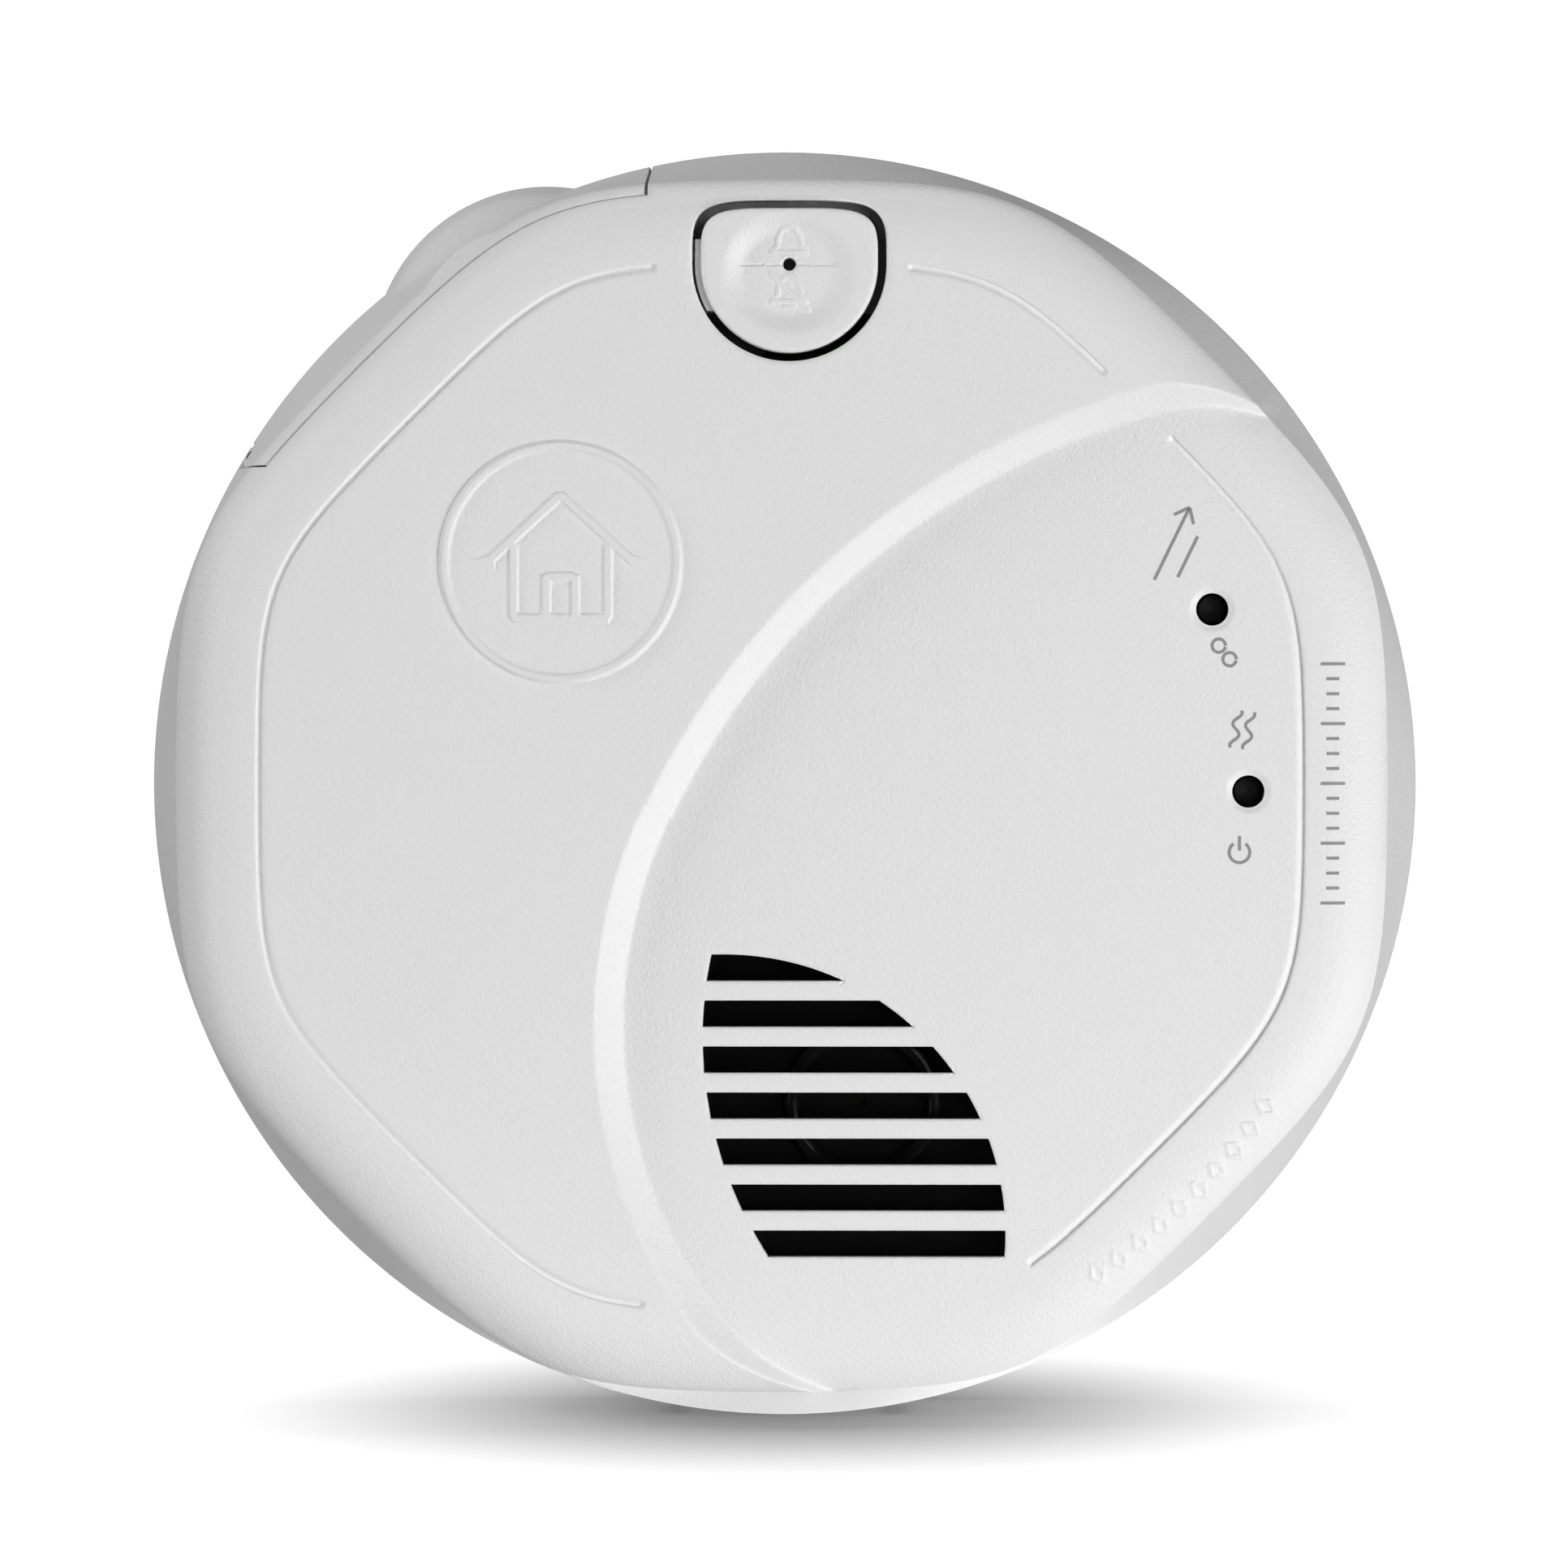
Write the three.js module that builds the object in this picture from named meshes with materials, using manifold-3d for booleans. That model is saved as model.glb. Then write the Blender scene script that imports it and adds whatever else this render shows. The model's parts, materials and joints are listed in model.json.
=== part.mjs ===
// Wall-mounted combined smoke and carbon monoxide alarm, mains powered with a 9 V backup battery.
//
// Every piece is drawn in a plan frame: x to the right, y up and z out of the wall, as a person
// standing in front of the alarm sees it, with z = 0 on the wall. The last lines turn that frame so
// that the alarm hangs upright: its front faces -Y, its back lies on the plane Y = 0 and +Z is up.
import * as THREE from 'three';
import { mergeVertices } from 'three/addons/utils/BufferGeometryUtils.js';
import Module from 'manifold-3d';

const wasm = await Module();
wasm.setup();

// ---------------------------------------------------------------- driving dimensions (mm, degrees)
const GAP = 0.3; // clearance between pieces that rest on each other
const OVERSHOOT = 1; // how far a cutter runs past the face that it cuts

// Outer form: a round skirt that turns into a softly rounded octagon at the shoulder.
const SKIRT_RADIUS = 71;
const SKIRT_BOTTOM = 4;
const SKIRT_TOP = 25;
const SHOULDER_APOTHEM = 67.9;
const SHOULDER_SHARPNESS = 15; // exponent of the octagon: larger is a sharper corner
const SHOULDER_WIDTH = 9;
const SHOULDER_Z = 37.5;
const FACE_Z = 47; // upper-left part of the face
const STEP_DROP = 3; // the lower-right part of the face lies this much further back
const STEP_SLOPE = 1.07; // fall over run of the bevel between the two parts
const WALL = 2.2;
const AROUND = 48; // points around the octagonal outlines

// The bevel's upper edge is two arcs that meet tangentially.
const BEVEL_UPPER_ARC = { x: 63, y: -39.1, radius: 86.1, from: 60, to: 154.7 };
const BEVEL_LOWER_ARC = { x: 36, y: -26.3, radius: 56.4, from: 154.7, to: 285 };

// Sound grille: horizontal slots inside a leaf made by two arcs.
const SLOT_COUNT = 7;
const SLOT_HEIGHT = 2.96;
const SLOT_PITCH = 5.09;
const FIRST_SLOT_Y = -19.98;
const LEAF_RIGHT_ARC = { x: -6.2, y: -49.5, radius: 31 };
const LEAF_LEFT_ARC = { x: 35.4, y: -27.75, radius: 44.1 };

// Vents around the skirt.
const VENT_WIDTH = 2.6;
const VENT_BOTTOM = 10.5;
const VENT_TOP = 22.5;
const VENT_STEP = 10;
const VENT_ANGLES = [160, 450];

// Test button and its lever.
const BUTTON_X = 0.95;
const BUTTON_Y = 57.6;
const BUTTON_HALF_WIDTH = 9.75;
const BUTTON_TOP_RISE = 6.15;
const BUTTON_CLEARANCE = 0.95;
const BUTTON_SQUARENESS = 4.5; // exponent of its upper half
const BUTTON_Z = [40.8, 46.8];
const BUTTON_PIN_RADIUS = 0.8;
const BUTTON_PIVOT = { x: -15.5, z: 41.4, radius: 1.7 };
const BUTTON_ARM = { y0: 52.4, y1: 60.4, z0: 40.5, z1: 42.3 };
const EAR_WIDTH = 3; // along the pivot pin
const SWITCH_Y = 50.6;

// Indicator lights.
const POWER_LIGHT = { x: 51.6, y: -0.5 };
const CO_LIGHT = { x: 47.6, y: 19.6 };
const LIGHT_HOLE_RADIUS = 1.8;

// Battery drawer: it swings out of the upper-left side about a pin at its lower-left corner.
// The opening for it ends on an upright plane at its free end and a level plane at its hinge.
const WINDOW = { right: -14.7, bottom: 35.3 };
const DRAWER = { right: -15.2, bottom: 35.6 };
const DRAWER_LIP = 2.1;
const DRAWER_BOTTOM = 4.3;
const DRAWER_SECTOR = [95, 155];
const HINGE = { x: -59.6, y: 36.7, pin: 0.5, bore: 0.75, knuckle: 1.2, top: 29 };
const LUGS = [[8, 12.5], [23, 27.5]];
const BAY_ANGLE = 127; // the battery lies square to this direction
const BATTERY = { inner: 43.5, thickness: 17.5, start: -23.6, length: 46.4, z0: 8.4, depth: 26.5 };
const TRAY_FLOOR = [6.5, 8.1];
const TRAY_WALL = 1.2;
const TRAY_HEIGHT = 20;
const CONTACT_ALONG = 28.2;
const CONTACT_SHEET = 0.7;
const TAB = { angle: 119.4, centre: 54.5, radius: 19.9 };

// Raised round medallion on the face.
const MEDALLION = { x: -24.2, y: 24.8, radius: 13.5, line: 1.1, height: 0.5 };

// Rear housing.
const HOUSING_RADIUS = 67.6;
const HOUSING_Z = [3, 5];
const HOUSING_RIM_TOP = 9;
const HOUSING_RIM = 1.8;
const INLET = { x: 0, y: -8, width: 20, height: 12, top: 13.4, wall: 1.6 };
const PIN_SPACING = 5;
const STANDOFF_ANGLES = [0, 75, 235];
const STANDOFF_RADIUS = 46;

// Mounting bracket.
const BRACKET_RADIUS = 66.5;
const BRACKET_THICKNESS = 2.4;
const BRACKET_HOLE_RADIUS = 27;
const SCREW_SLOT_RADIUS = 41.3;
const HOOK_ANGLES = [30, 150, 270];
const HOOK_RADIUS = 50;
const HOOK_HALF_ANGLE = 4.5;
const HOOK_POST = 2;
const HOOK_LIP = 5;
const HOOK_TOP = 6.1;
const TWIST = 15;

// Screws that hold the cover to the rear housing.
const SCREW_ANGLES = [60, 200, 320];
const SCREW_CIRCLE = 60;
const BOSS_RADIUS = 3.2;

// Circuit board and what stands on it.
const BOARD_Z = [18, 19.6];
const BOARD_RADIUS = 54;
const ON_BOARD = BOARD_Z[1] + GAP;
const CHAMBER = { x: -33, y: -8, radius: 19 };
const HORN = { x: 9, y: -35 };

// ---------------------------------------------------------------- small helpers
const radians = THREE.MathUtils.degToRad;

function polar(radius, degrees) {
  return new THREE.Vector2(radius * Math.cos(radians(degrees)), radius * Math.sin(radians(degrees)));
}

function material(color, roughness, metalness = 0) {
  return new THREE.MeshStandardMaterial({ color, roughness, metalness });
}

function signedVolume(geometry) {
  const { position } = geometry.attributes;
  const corners = [new THREE.Vector3(), new THREE.Vector3(), new THREE.Vector3()];
  let volume = 0;
  for (let i = 0; i < geometry.index.count; i += 3) {
    corners.forEach((corner, k) => corner.fromBufferAttribute(position, geometry.index.getX(i + k)));
    volume += corners[0].dot(corners[1].cross(corners[2])) / 6;
  }
  return volume;
}

// Turns a closed geometry into a manifold solid with its faces pointing out.
function solid(geometry) {
  const bare = geometry.clone();
  bare.deleteAttribute('normal');
  bare.deleteAttribute('uv');
  const merged = mergeVertices(bare, 1e-4);
  const corners = [];
  const flip = signedVolume(merged) < 0;
  for (let i = 0; i < merged.index.count; i += 3) {
    const [a, b, c] = [0, 1, 2].map((k) => merged.index.getX(i + k));
    if (a === b || b === c || c === a) continue;
    corners.push(a, flip ? c : b, flip ? b : c);
  }
  const mesh = new wasm.Mesh({
    numProp: 3,
    vertProperties: new Float32Array(merged.attributes.position.array),
    triVerts: new Uint32Array(corners),
  });
  return new wasm.Manifold(mesh);
}

function geometryOf(manifold) {
  const mesh = manifold.getMesh();
  const geometry = new THREE.BufferGeometry();
  geometry.setAttribute('position', new THREE.BufferAttribute(mesh.vertProperties, 3));
  geometry.setIndex(new THREE.BufferAttribute(mesh.triVerts, 1));
  const flat = geometry.toNonIndexed();
  flat.computeVertexNormals();
  return flat;
}

function joined(solids) {
  return solids.reduce((sum, next) => sum.add(next));
}

function without(body, cutters) {
  return cutters.reduce((rest, cutter) => rest.subtract(cutter), body);
}

// A closed solid through a stack of outlines that all have the same number of points.
function loft(rings) {
  const count = rings[0].points.length;
  const positions = rings.flatMap(({ z, points }) => points.flatMap((p) => [p.x, p.y, z]));
  const index = [];
  for (let ring = 0; ring + 1 < rings.length; ring += 1) {
    for (let i = 0; i < count; i += 1) {
      const a = ring * count + i;
      const b = ring * count + ((i + 1) % count);
      index.push(a, b, b + count, a, b + count, a + count);
    }
  }
  const last = (rings.length - 1) * count;
  for (const [a, b, c] of THREE.ShapeUtils.triangulateShape(rings[0].points, [])) {
    index.push(a, c, b);
  }
  for (const [a, b, c] of THREE.ShapeUtils.triangulateShape(rings.at(-1).points, [])) {
    index.push(last + a, last + b, last + c);
  }
  const geometry = new THREE.BufferGeometry();
  geometry.setAttribute('position', new THREE.Float32BufferAttribute(positions, 3));
  geometry.setIndex(index);
  return solid(geometry);
}

function extrusion(shape, z0, z1, curveSegments = 8) {
  const geometry = new THREE.ExtrudeGeometry(shape, { depth: z1 - z0, bevelEnabled: false, curveSegments });
  return solid(geometry.translate(0, 0, z0));
}

function cuboid(x0, x1, y0, y1, z0, z1) {
  const geometry = new THREE.BoxGeometry(x1 - x0, y1 - y0, z1 - z0);
  return solid(geometry.translate((x0 + x1) / 2, (y0 + y1) / 2, (z0 + z1) / 2));
}

// A cylinder that stands along z.
function post(x, y, radius, z0, z1, segments = 14) {
  const geometry = new THREE.CylinderGeometry(radius, radius, z1 - z0, segments);
  return solid(geometry.rotateX(Math.PI / 2).translate(x, y, (z0 + z1) / 2));
}

// A cylinder that lies along y.
function rod(x, z, radius, y0, y1, segments = 12) {
  const geometry = new THREE.CylinderGeometry(radius, radius, y1 - y0, segments);
  return solid(geometry.translate(x, (y0 + y1) / 2, z));
}

// A solid of revolution about z, from a profile of [radius, z] pairs.
function turned(profile, x, y, segments = 24) {
  const points = profile.map(([radius, z]) => new THREE.Vector2(radius, z));
  const geometry = new THREE.LatheGeometry(points, segments).rotateX(Math.PI / 2);
  return solid(geometry.translate(x, y, 0));
}

// Part of a ring between two radii and two angles.
function ringSector(inner, outer, from, to, z0, z1) {
  const shape = new THREE.Shape();
  shape.absarc(0, 0, outer, radians(from), radians(to), false);
  shape.absarc(0, 0, inner, radians(to), radians(from), true);
  return extrusion(shape, z0, z1, Math.max(2, Math.round((to - from) / 8)));
}

// A block in the battery bay: radial is measured along the bay's own direction from the centre,
// and along is measured across it, towards the drawer's free end.
function bayBlock(radial, along, z0, z1) {
  const geometry = new THREE.BoxGeometry(radial[1] - radial[0], along[1] - along[0], z1 - z0);
  geometry.translate((radial[0] + radial[1]) / 2, -(along[0] + along[1]) / 2, (z0 + z1) / 2);
  return solid(geometry.rotateZ(radians(BAY_ANGLE)));
}

const hingeAngle = THREE.MathUtils.radToDeg(Math.atan2(HINGE.y, HINGE.x));

// ---------------------------------------------------------------- outer form
// Radius of an octagon with soft corners, flat sides facing 0, 45, 90 ... degrees.
function octagonRadius(apothem, degrees) {
  let sum = 0;
  for (let side = 0; side < 8; side += 1) {
    const facing = Math.cos(radians(degrees - side * 45));
    sum += Math.max(0, facing) ** SHOULDER_SHARPNESS;
  }
  return apothem * sum ** (-1 / SHOULDER_SHARPNESS);
}

// An outline between the skirt's circle (squareness 0) and the shoulder's octagon (squareness 1).
function outline(apothem, squareness, inset = 0) {
  return Array.from({ length: AROUND }, (_, i) => {
    const angle = (360 * i) / AROUND;
    const octagon = octagonRadius(apothem, angle);
    return polar(THREE.MathUtils.lerp(SKIRT_RADIUS, octagon, squareness) - inset, angle);
  });
}

// The whole outer form up to one face height, moved in by inset on the sides and the front.
function bowl(faceZ, inset, bottom) {
  const shoulderRise = faceZ - SHOULDER_Z;
  const rings = [
    { z: bottom, points: outline(SHOULDER_APOTHEM, 0, inset) },
    { z: SKIRT_TOP, points: outline(SHOULDER_APOTHEM, 0, inset) },
    { z: (SKIRT_TOP + SHOULDER_Z) / 2, points: outline(SHOULDER_APOTHEM, 0.4, inset) },
  ];
  for (const turn of [0, 25, 48, 70, 90]) {
    const apothem = SHOULDER_APOTHEM - SHOULDER_WIDTH * (1 - Math.cos(radians(turn)));
    const z = SHOULDER_Z - inset + shoulderRise * Math.sin(radians(turn));
    rings.push({ z, points: outline(apothem, 1, inset) });
  }
  return loft(rings);
}

function arcPoints(arc, shrink, segments) {
  return Array.from({ length: segments + 1 }, (_, i) => {
    const angle = THREE.MathUtils.lerp(arc.from, arc.to, i / segments);
    return polar(arc.radius - shrink, angle).add(new THREE.Vector2(arc.x, arc.y));
  });
}

// Everything on the lower-right side of the bevel. The bevel runs on downwards at the same slope.
function lowerSide(inset) {
  const ring = (z) => {
    const shrink = (FACE_Z - inset - z) / STEP_SLOPE;
    const upper = arcPoints(BEVEL_UPPER_ARC, shrink, 12);
    const lower = arcPoints(BEVEL_LOWER_ARC, shrink, 12).slice(1);
    return { z, points: [...upper, ...lower, new THREE.Vector2(120, -60), new THREE.Vector2(120, 25)] };
  };
  return loft([ring(SHOULDER_Z - 6), ring(FACE_Z + OVERSHOOT)]);
}

function steppedForm(inset, bottom) {
  const high = bowl(FACE_Z, inset, bottom);
  const low = bowl(FACE_Z - STEP_DROP, inset, bottom);
  return high.subtract(lowerSide(inset)).add(low);
}

// The octagonal parting line between the cover and the drawer's lip.
function partingPrism(grow) {
  const points = outline(SHOULDER_APOTHEM - DRAWER_LIP + grow, 1);
  return loft([{ z: -OVERSHOOT, points }, { z: FACE_Z + OVERSHOOT, points }]);
}

// The wedge of the upper-left side that lies beyond an upright and a level plane.
function drawerWedge({ right, bottom }, z0) {
  const sector = ringSector(60, 90, ...DRAWER_SECTOR, z0, FACE_Z);
  return sector.intersect(cuboid(-90, right, bottom, 90, z0 - OVERSHOOT, FACE_Z + OVERSHOOT));
}

// ---------------------------------------------------------------- front cover
function grilleSlot(row) {
  const top = FIRST_SLOT_Y + SLOT_HEIGHT / 2 - row * SLOT_PITCH;
  const bottom = top - SLOT_HEIGHT;
  const reach = (arc, y) => Math.sqrt(Math.max(0, arc.radius ** 2 - (y - arc.y) ** 2));
  const right = (y) => LEAF_RIGHT_ARC.x + reach(LEAF_RIGHT_ARC, y);
  const left = (y) => LEAF_LEFT_ARC.x - reach(LEAF_LEFT_ARC, y);
  const heights = [bottom, (top + bottom) / 2, top];
  const points = [
    ...heights.map((y) => new THREE.Vector2(right(y), y)),
    ...heights.reverse().map((y) => new THREE.Vector2(left(y), y)),
  ];
  return extrusion(new THREE.Shape(points), SHOULDER_Z, FACE_Z + OVERSHOOT);
}

// A half circle below and a squarer half above.
function buttonShape(grow) {
  const half = BUTTON_HALF_WIDTH + grow;
  const points = Array.from({ length: 36 }, (_, i) => {
    const across = Math.cos(radians(i * 10));
    const up = Math.sin(radians(i * 10));
    const height = up > 0 ? BUTTON_TOP_RISE + grow : half;
    const power = up > 0 ? 2 / BUTTON_SQUARENESS : 1;
    const x = BUTTON_X + half * Math.sign(across) * Math.abs(across) ** power;
    return new THREE.Vector2(x, BUTTON_Y + height * Math.sign(up) * Math.abs(up) ** power);
  });
  return new THREE.Shape(points);
}

function ventCutters() {
  const cutters = [];
  for (let angle = VENT_ANGLES[0]; angle <= VENT_ANGLES[1]; angle += VENT_STEP) {
    const geometry = new THREE.BoxGeometry(12, VENT_WIDTH, VENT_TOP - VENT_BOTTOM);
    geometry.translate(SKIRT_RADIUS, 0, (VENT_TOP + VENT_BOTTOM) / 2);
    cutters.push(solid(geometry.rotateZ(radians(angle))));
  }
  return cutters;
}

function medallion() {
  const { x, y, radius, line, height } = MEDALLION;
  const top = FACE_Z + height;
  const rim = post(x, y, radius, FACE_Z - 0.2, top, 32);
  const hollow = post(x, y, radius - line, FACE_Z - OVERSHOOT, top + OVERSHOOT, 32);
  return rim.subtract(hollow).add(post(x, y, radius - line / 2, FACE_Z - 0.2, FACE_Z + height / 2, 32));
}

// Hollow posts for the housing screws, trimmed to the form of the cover.
function coverBosses(form) {
  return SCREW_ANGLES.map((angle) => {
    const { x, y } = polar(SCREW_CIRCLE, angle);
    const boss = post(x, y, BOSS_RADIUS, HOUSING_Z[1] + 3.3, FACE_Z);
    return boss.intersect(form).subtract(post(x, y, 1.7, HOUSING_Z[1], 20));
  });
}

// Two ears under the face hold the button's pivot pin.
function buttonEars(form) {
  const { x, z, radius } = BUTTON_PIVOT;
  const { y0, y1 } = BUTTON_ARM;
  const ears = [[y0 - EAR_WIDTH, y0 - GAP], [y1 + GAP, y1 + EAR_WIDTH]];
  const ear = ([from, to]) => cuboid(x - radius, x + radius, from, to, z - radius, FACE_Z);
  return ears.map((ends) => ear(ends).intersect(form));
}

// A fixed hinge lug reaches along the skirt from the cover's edge to the drawer's pin.
function hingeLug([z0, z1]) {
  const arm = ringSector(68.9, SKIRT_RADIUS, hingeAngle, hingeAngle + 4, z0, z1);
  return post(HINGE.x, HINGE.y, HINGE.knuckle, z0, z1).add(arm);
}

function hingeBore() {
  return post(HINGE.x, HINGE.y, HINGE.bore, DRAWER_BOTTOM + OVERSHOOT, HINGE.top, 12);
}

function frontCover() {
  const form = steppedForm(0, SKIRT_BOTTOM);
  const shell = form.subtract(steppedForm(WALL, SKIRT_BOTTOM - OVERSHOOT));
  const window = drawerWedge(WINDOW, -OVERSHOOT).subtract(partingPrism(0));
  const lights = [POWER_LIGHT, CO_LIGHT].map(({ x, y }) => post(x, y, LIGHT_HOLE_RADIUS, SHOULDER_Z, FACE_Z));
  const slots = Array.from({ length: SLOT_COUNT }, (_, row) => grilleSlot(row));
  const buttonHole = extrusion(buttonShape(BUTTON_CLEARANCE), SHOULDER_Z, FACE_Z + OVERSHOOT);
  const pierced = without(shell, [window, ...lights, ...slots, buttonHole, ...ventCutters()]);
  const fittings = [medallion(), ...LUGS.map(hingeLug), ...coverBosses(form), ...buttonEars(form)];
  const { x, z } = BUTTON_PIVOT;
  const bored = EAR_WIDTH + GAP;
  const pivotBore = rod(x, z, BUTTON_PIN_RADIUS + GAP, BUTTON_ARM.y0 - bored, BUTTON_ARM.y1 + bored);
  return without(joined([pierced, ...fittings]), [hingeBore(), pivotBore]);
}

// ---------------------------------------------------------------- battery drawer
function fingerTab() {
  const { x, y } = polar(TAB.centre, TAB.angle);
  const disc = (z, radius) => {
    const points = Array.from({ length: 36 }, (_, i) => polar(radius, i * 10).add(new THREE.Vector2(x, y)));
    return { z, points };
  };
  const rise = [[8, 15.5], [11, 18.4], [15, TAB.radius], [22, TAB.radius], [28, 18.6], [34, 14.8]];
  return loft(rise.map(([z, radius]) => disc(z, radius)));
}

function drawerTray() {
  const inner = BATTERY.inner - 0.4;
  const span = [BATTERY.start - 1.6, 20.6];
  return [
    bayBlock([inner - TRAY_WALL, 66.6], span, ...TRAY_FLOOR),
    bayBlock([inner - TRAY_WALL, inner], span, TRAY_FLOOR[0], TRAY_HEIGHT),
    bayBlock([inner - TRAY_WALL, 64], [span[0], span[0] + TRAY_WALL], TRAY_FLOOR[0], TRAY_HEIGHT),
  ];
}

function batteryDrawer() {
  const form = steppedForm(0, SKIRT_BOTTOM).add(fingerTab());
  const wall = form.intersect(drawerWedge(DRAWER, DRAWER_BOTTOM)).subtract(partingPrism(0.4));
  const knuckle = post(HINGE.x, HINGE.y, HINGE.knuckle, DRAWER_BOTTOM, HINGE.top);
  const corner = cuboid(-90, HINGE.x, 30, HINGE.y, 0, FACE_Z).subtract(
    post(HINGE.x, HINGE.y, HINGE.knuckle, -OVERSHOOT, FACE_Z + OVERSHOOT),
  );
  const lugRoom = LUGS.flatMap(([z0, z1]) => [
    post(HINGE.x, HINGE.y, HINGE.knuckle + 0.45, z0 - GAP, z1 + GAP),
    ringSector(68.3, 80, hingeAngle, hingeAngle + 4, z0 - GAP, z1 + GAP),
  ]);
  return without(joined([wall, knuckle, ...drawerTray()]), [corner, hingeBore(), ...lugRoom]);
}

function battery() {
  const { inner, thickness, start, length, z0, depth } = BATTERY;
  return bayBlock([inner, inner + thickness], [start, start + length], z0, z0 + depth);
}

// The studs on the end of the battery stand along the bay, so they are short rods laid across it.
function batteryStud(radius, zOffset) {
  const { inner, thickness, start, length, z0, depth } = BATTERY;
  const end = start + length + GAP;
  const geometry = new THREE.CylinderGeometry(radius, radius, 1.9, 18);
  geometry.translate(inner + thickness / 2, -(end + 0.95), z0 + depth / 2 + zOffset);
  return solid(geometry.rotateZ(radians(BAY_ANGLE)));
}

// A sprung leaf with a bow that faces the battery's stud, and a tail down its holder.
function batteryContact(zOffset) {
  const { inner, thickness, z0, depth } = BATTERY;
  const middle = inner + thickness / 2;
  const z = z0 + depth / 2 + zOffset;
  const back = CONTACT_ALONG + CONTACT_SHEET;
  const side = Math.sign(zOffset);
  const across = (from, to) => [middle + side * from, middle + side * to].sort((p, q) => p - q);
  const leaf = bayBlock(across(-3, 4.8), [CONTACT_ALONG, back], z - 3, z + 3);
  const bulge = [CONTACT_ALONG - 1.2, CONTACT_ALONG + 0.2];
  const bow = bayBlock([middle - 1.5, middle + 1.5], bulge, z - 1.5, z + 1.5);
  const tail = bayBlock(across(3.5, 4.8), [CONTACT_ALONG, back], 11, z);
  return joined([leaf, bow, tail]);
}

// ---------------------------------------------------------------- test button
function testButton() {
  const cap = extrusion(buttonShape(0), ...BUTTON_Z);
  const { y0, y1, z0, z1 } = BUTTON_ARM;
  const { x, z, radius } = BUTTON_PIVOT;
  const arm = cuboid(x, BUTTON_X - 5, y0, y1, z0, z1);
  const eye = rod(x, z, radius, y0, y1);
  const stem = post(BUTTON_X, SWITCH_Y, 1.6, 25.3, BUTTON_Z[0] + OVERSHOOT);
  const bore = rod(x, z, BUTTON_PIN_RADIUS + GAP, y0 - OVERSHOOT, y1 + OVERSHOOT);
  return joined([cap, arm, eye, stem]).subtract(bore);
}

function switchBody() {
  const block = cuboid(BUTTON_X - 3, BUTTON_X + 3, SWITCH_Y - 3, SWITCH_Y + 3, ON_BOARD, ON_BOARD + 3.6);
  return block.subtract(post(BUTTON_X, SWITCH_Y, 2.05, ON_BOARD + 2.2, ON_BOARD + 5));
}

// ---------------------------------------------------------------- rear housing
// An arc slot that lets a bracket hook slide along, with a wide end that its lip passes through.
function hookWindow(angle) {
  const z = [HOUSING_Z[0] - OVERSHOOT, HOUSING_Z[1] + OVERSHOOT];
  const half = HOOK_HALF_ANGLE + 0.6;
  const inner = HOOK_RADIUS - HOOK_POST / 2;
  const track = ringSector(inner - 0.4, HOOK_RADIUS + 1.4, angle - TWIST - half, angle + half, ...z);
  const unhooked = angle - TWIST;
  return track.add(ringSector(inner - 0.4, inner + HOOK_LIP + 0.6, unhooked - half, unhooked + half, ...z));
}

function inletWell() {
  const { x, y, width, height, top, wall } = INLET;
  const outside = cuboid(
    x - width / 2 - wall,
    x + width / 2 + wall,
    y - height / 2 - wall,
    y + height / 2 + wall,
    HOUSING_Z[0],
    top,
  );
  const inside = cuboid(
    x - width / 2,
    x + width / 2,
    y - height / 2,
    y + height / 2,
    HOUSING_Z[0] - OVERSHOOT,
    top - wall,
  );
  return { outside, inside };
}

function inletPinSolid(place, grow = 0) {
  const x = INLET.x + place * PIN_SPACING;
  const half = { x: 0.8 + grow, y: 0.5 + grow };
  const z = [HOUSING_Z[0] + 1.2, BOARD_Z[0] - GAP];
  return cuboid(x - half.x, x + half.x, INLET.y - half.y, INLET.y + half.y, ...z);
}

function rearHousing() {
  const plate = post(0, 0, HOUSING_RADIUS, ...HOUSING_Z, AROUND);
  const rimInner = HOUSING_RADIUS - HOUSING_RIM;
  const rim = ringSector(rimInner, HOUSING_RADIUS, 156, 456, HOUSING_Z[0], HOUSING_RIM_TOP);
  const pads = SCREW_ANGLES.map((angle) => {
    const { x, y } = polar(SCREW_CIRCLE, angle);
    return post(x, y, 5, HOUSING_Z[0], HOUSING_Z[1] + 3);
  });
  const standoffs = STANDOFF_ANGLES.map((angle) => {
    const { x, y } = polar(STANDOFF_RADIUS, angle);
    return post(x, y, 2.2, HOUSING_Z[0] + 0.5, BOARD_Z[0] - GAP, 16);
  });
  const well = inletWell();
  const holderFace = CONTACT_ALONG + CONTACT_SHEET + GAP;
  const contactHolder = bayBlock([46, 57], [holderFace, holderFace + 1.6], HOUSING_Z[0] + 0.5, 33);
  const filled = joined([plate, rim, ...pads, ...standoffs, well.outside, contactHolder]);
  const drawerRoom = ringSector(65.1, 90, 100.5, 151, -OVERSHOOT, HOUSING_RIM_TOP + OVERSHOOT);
  const screwHoles = SCREW_ANGLES.flatMap((angle) => {
    const { x, y } = polar(SCREW_CIRCLE, angle);
    return [post(x, y, 1.7, 0, 10), post(x, y, 3.4, 0, HOUSING_Z[1] + 0.8)];
  });
  const pinHoles = [-1, 0, 1].map((place) => inletPinSolid(place, GAP));
  const hookWindows = HOOK_ANGLES.map(hookWindow);
  return without(filled, [drawerRoom, well.inside, ...screwHoles, ...pinHoles, ...hookWindows]);
}

function housingScrew(angle) {
  const { x, y } = polar(SCREW_CIRCLE, angle);
  const seat = HOUSING_Z[1] + 0.8 - GAP;
  const profile = [[0, 3.3], [3, 3.3], [3, seat], [1.35, seat], [1.35, 17], [0, 18.4]];
  return turned(profile, x, y, 12);
}

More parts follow.
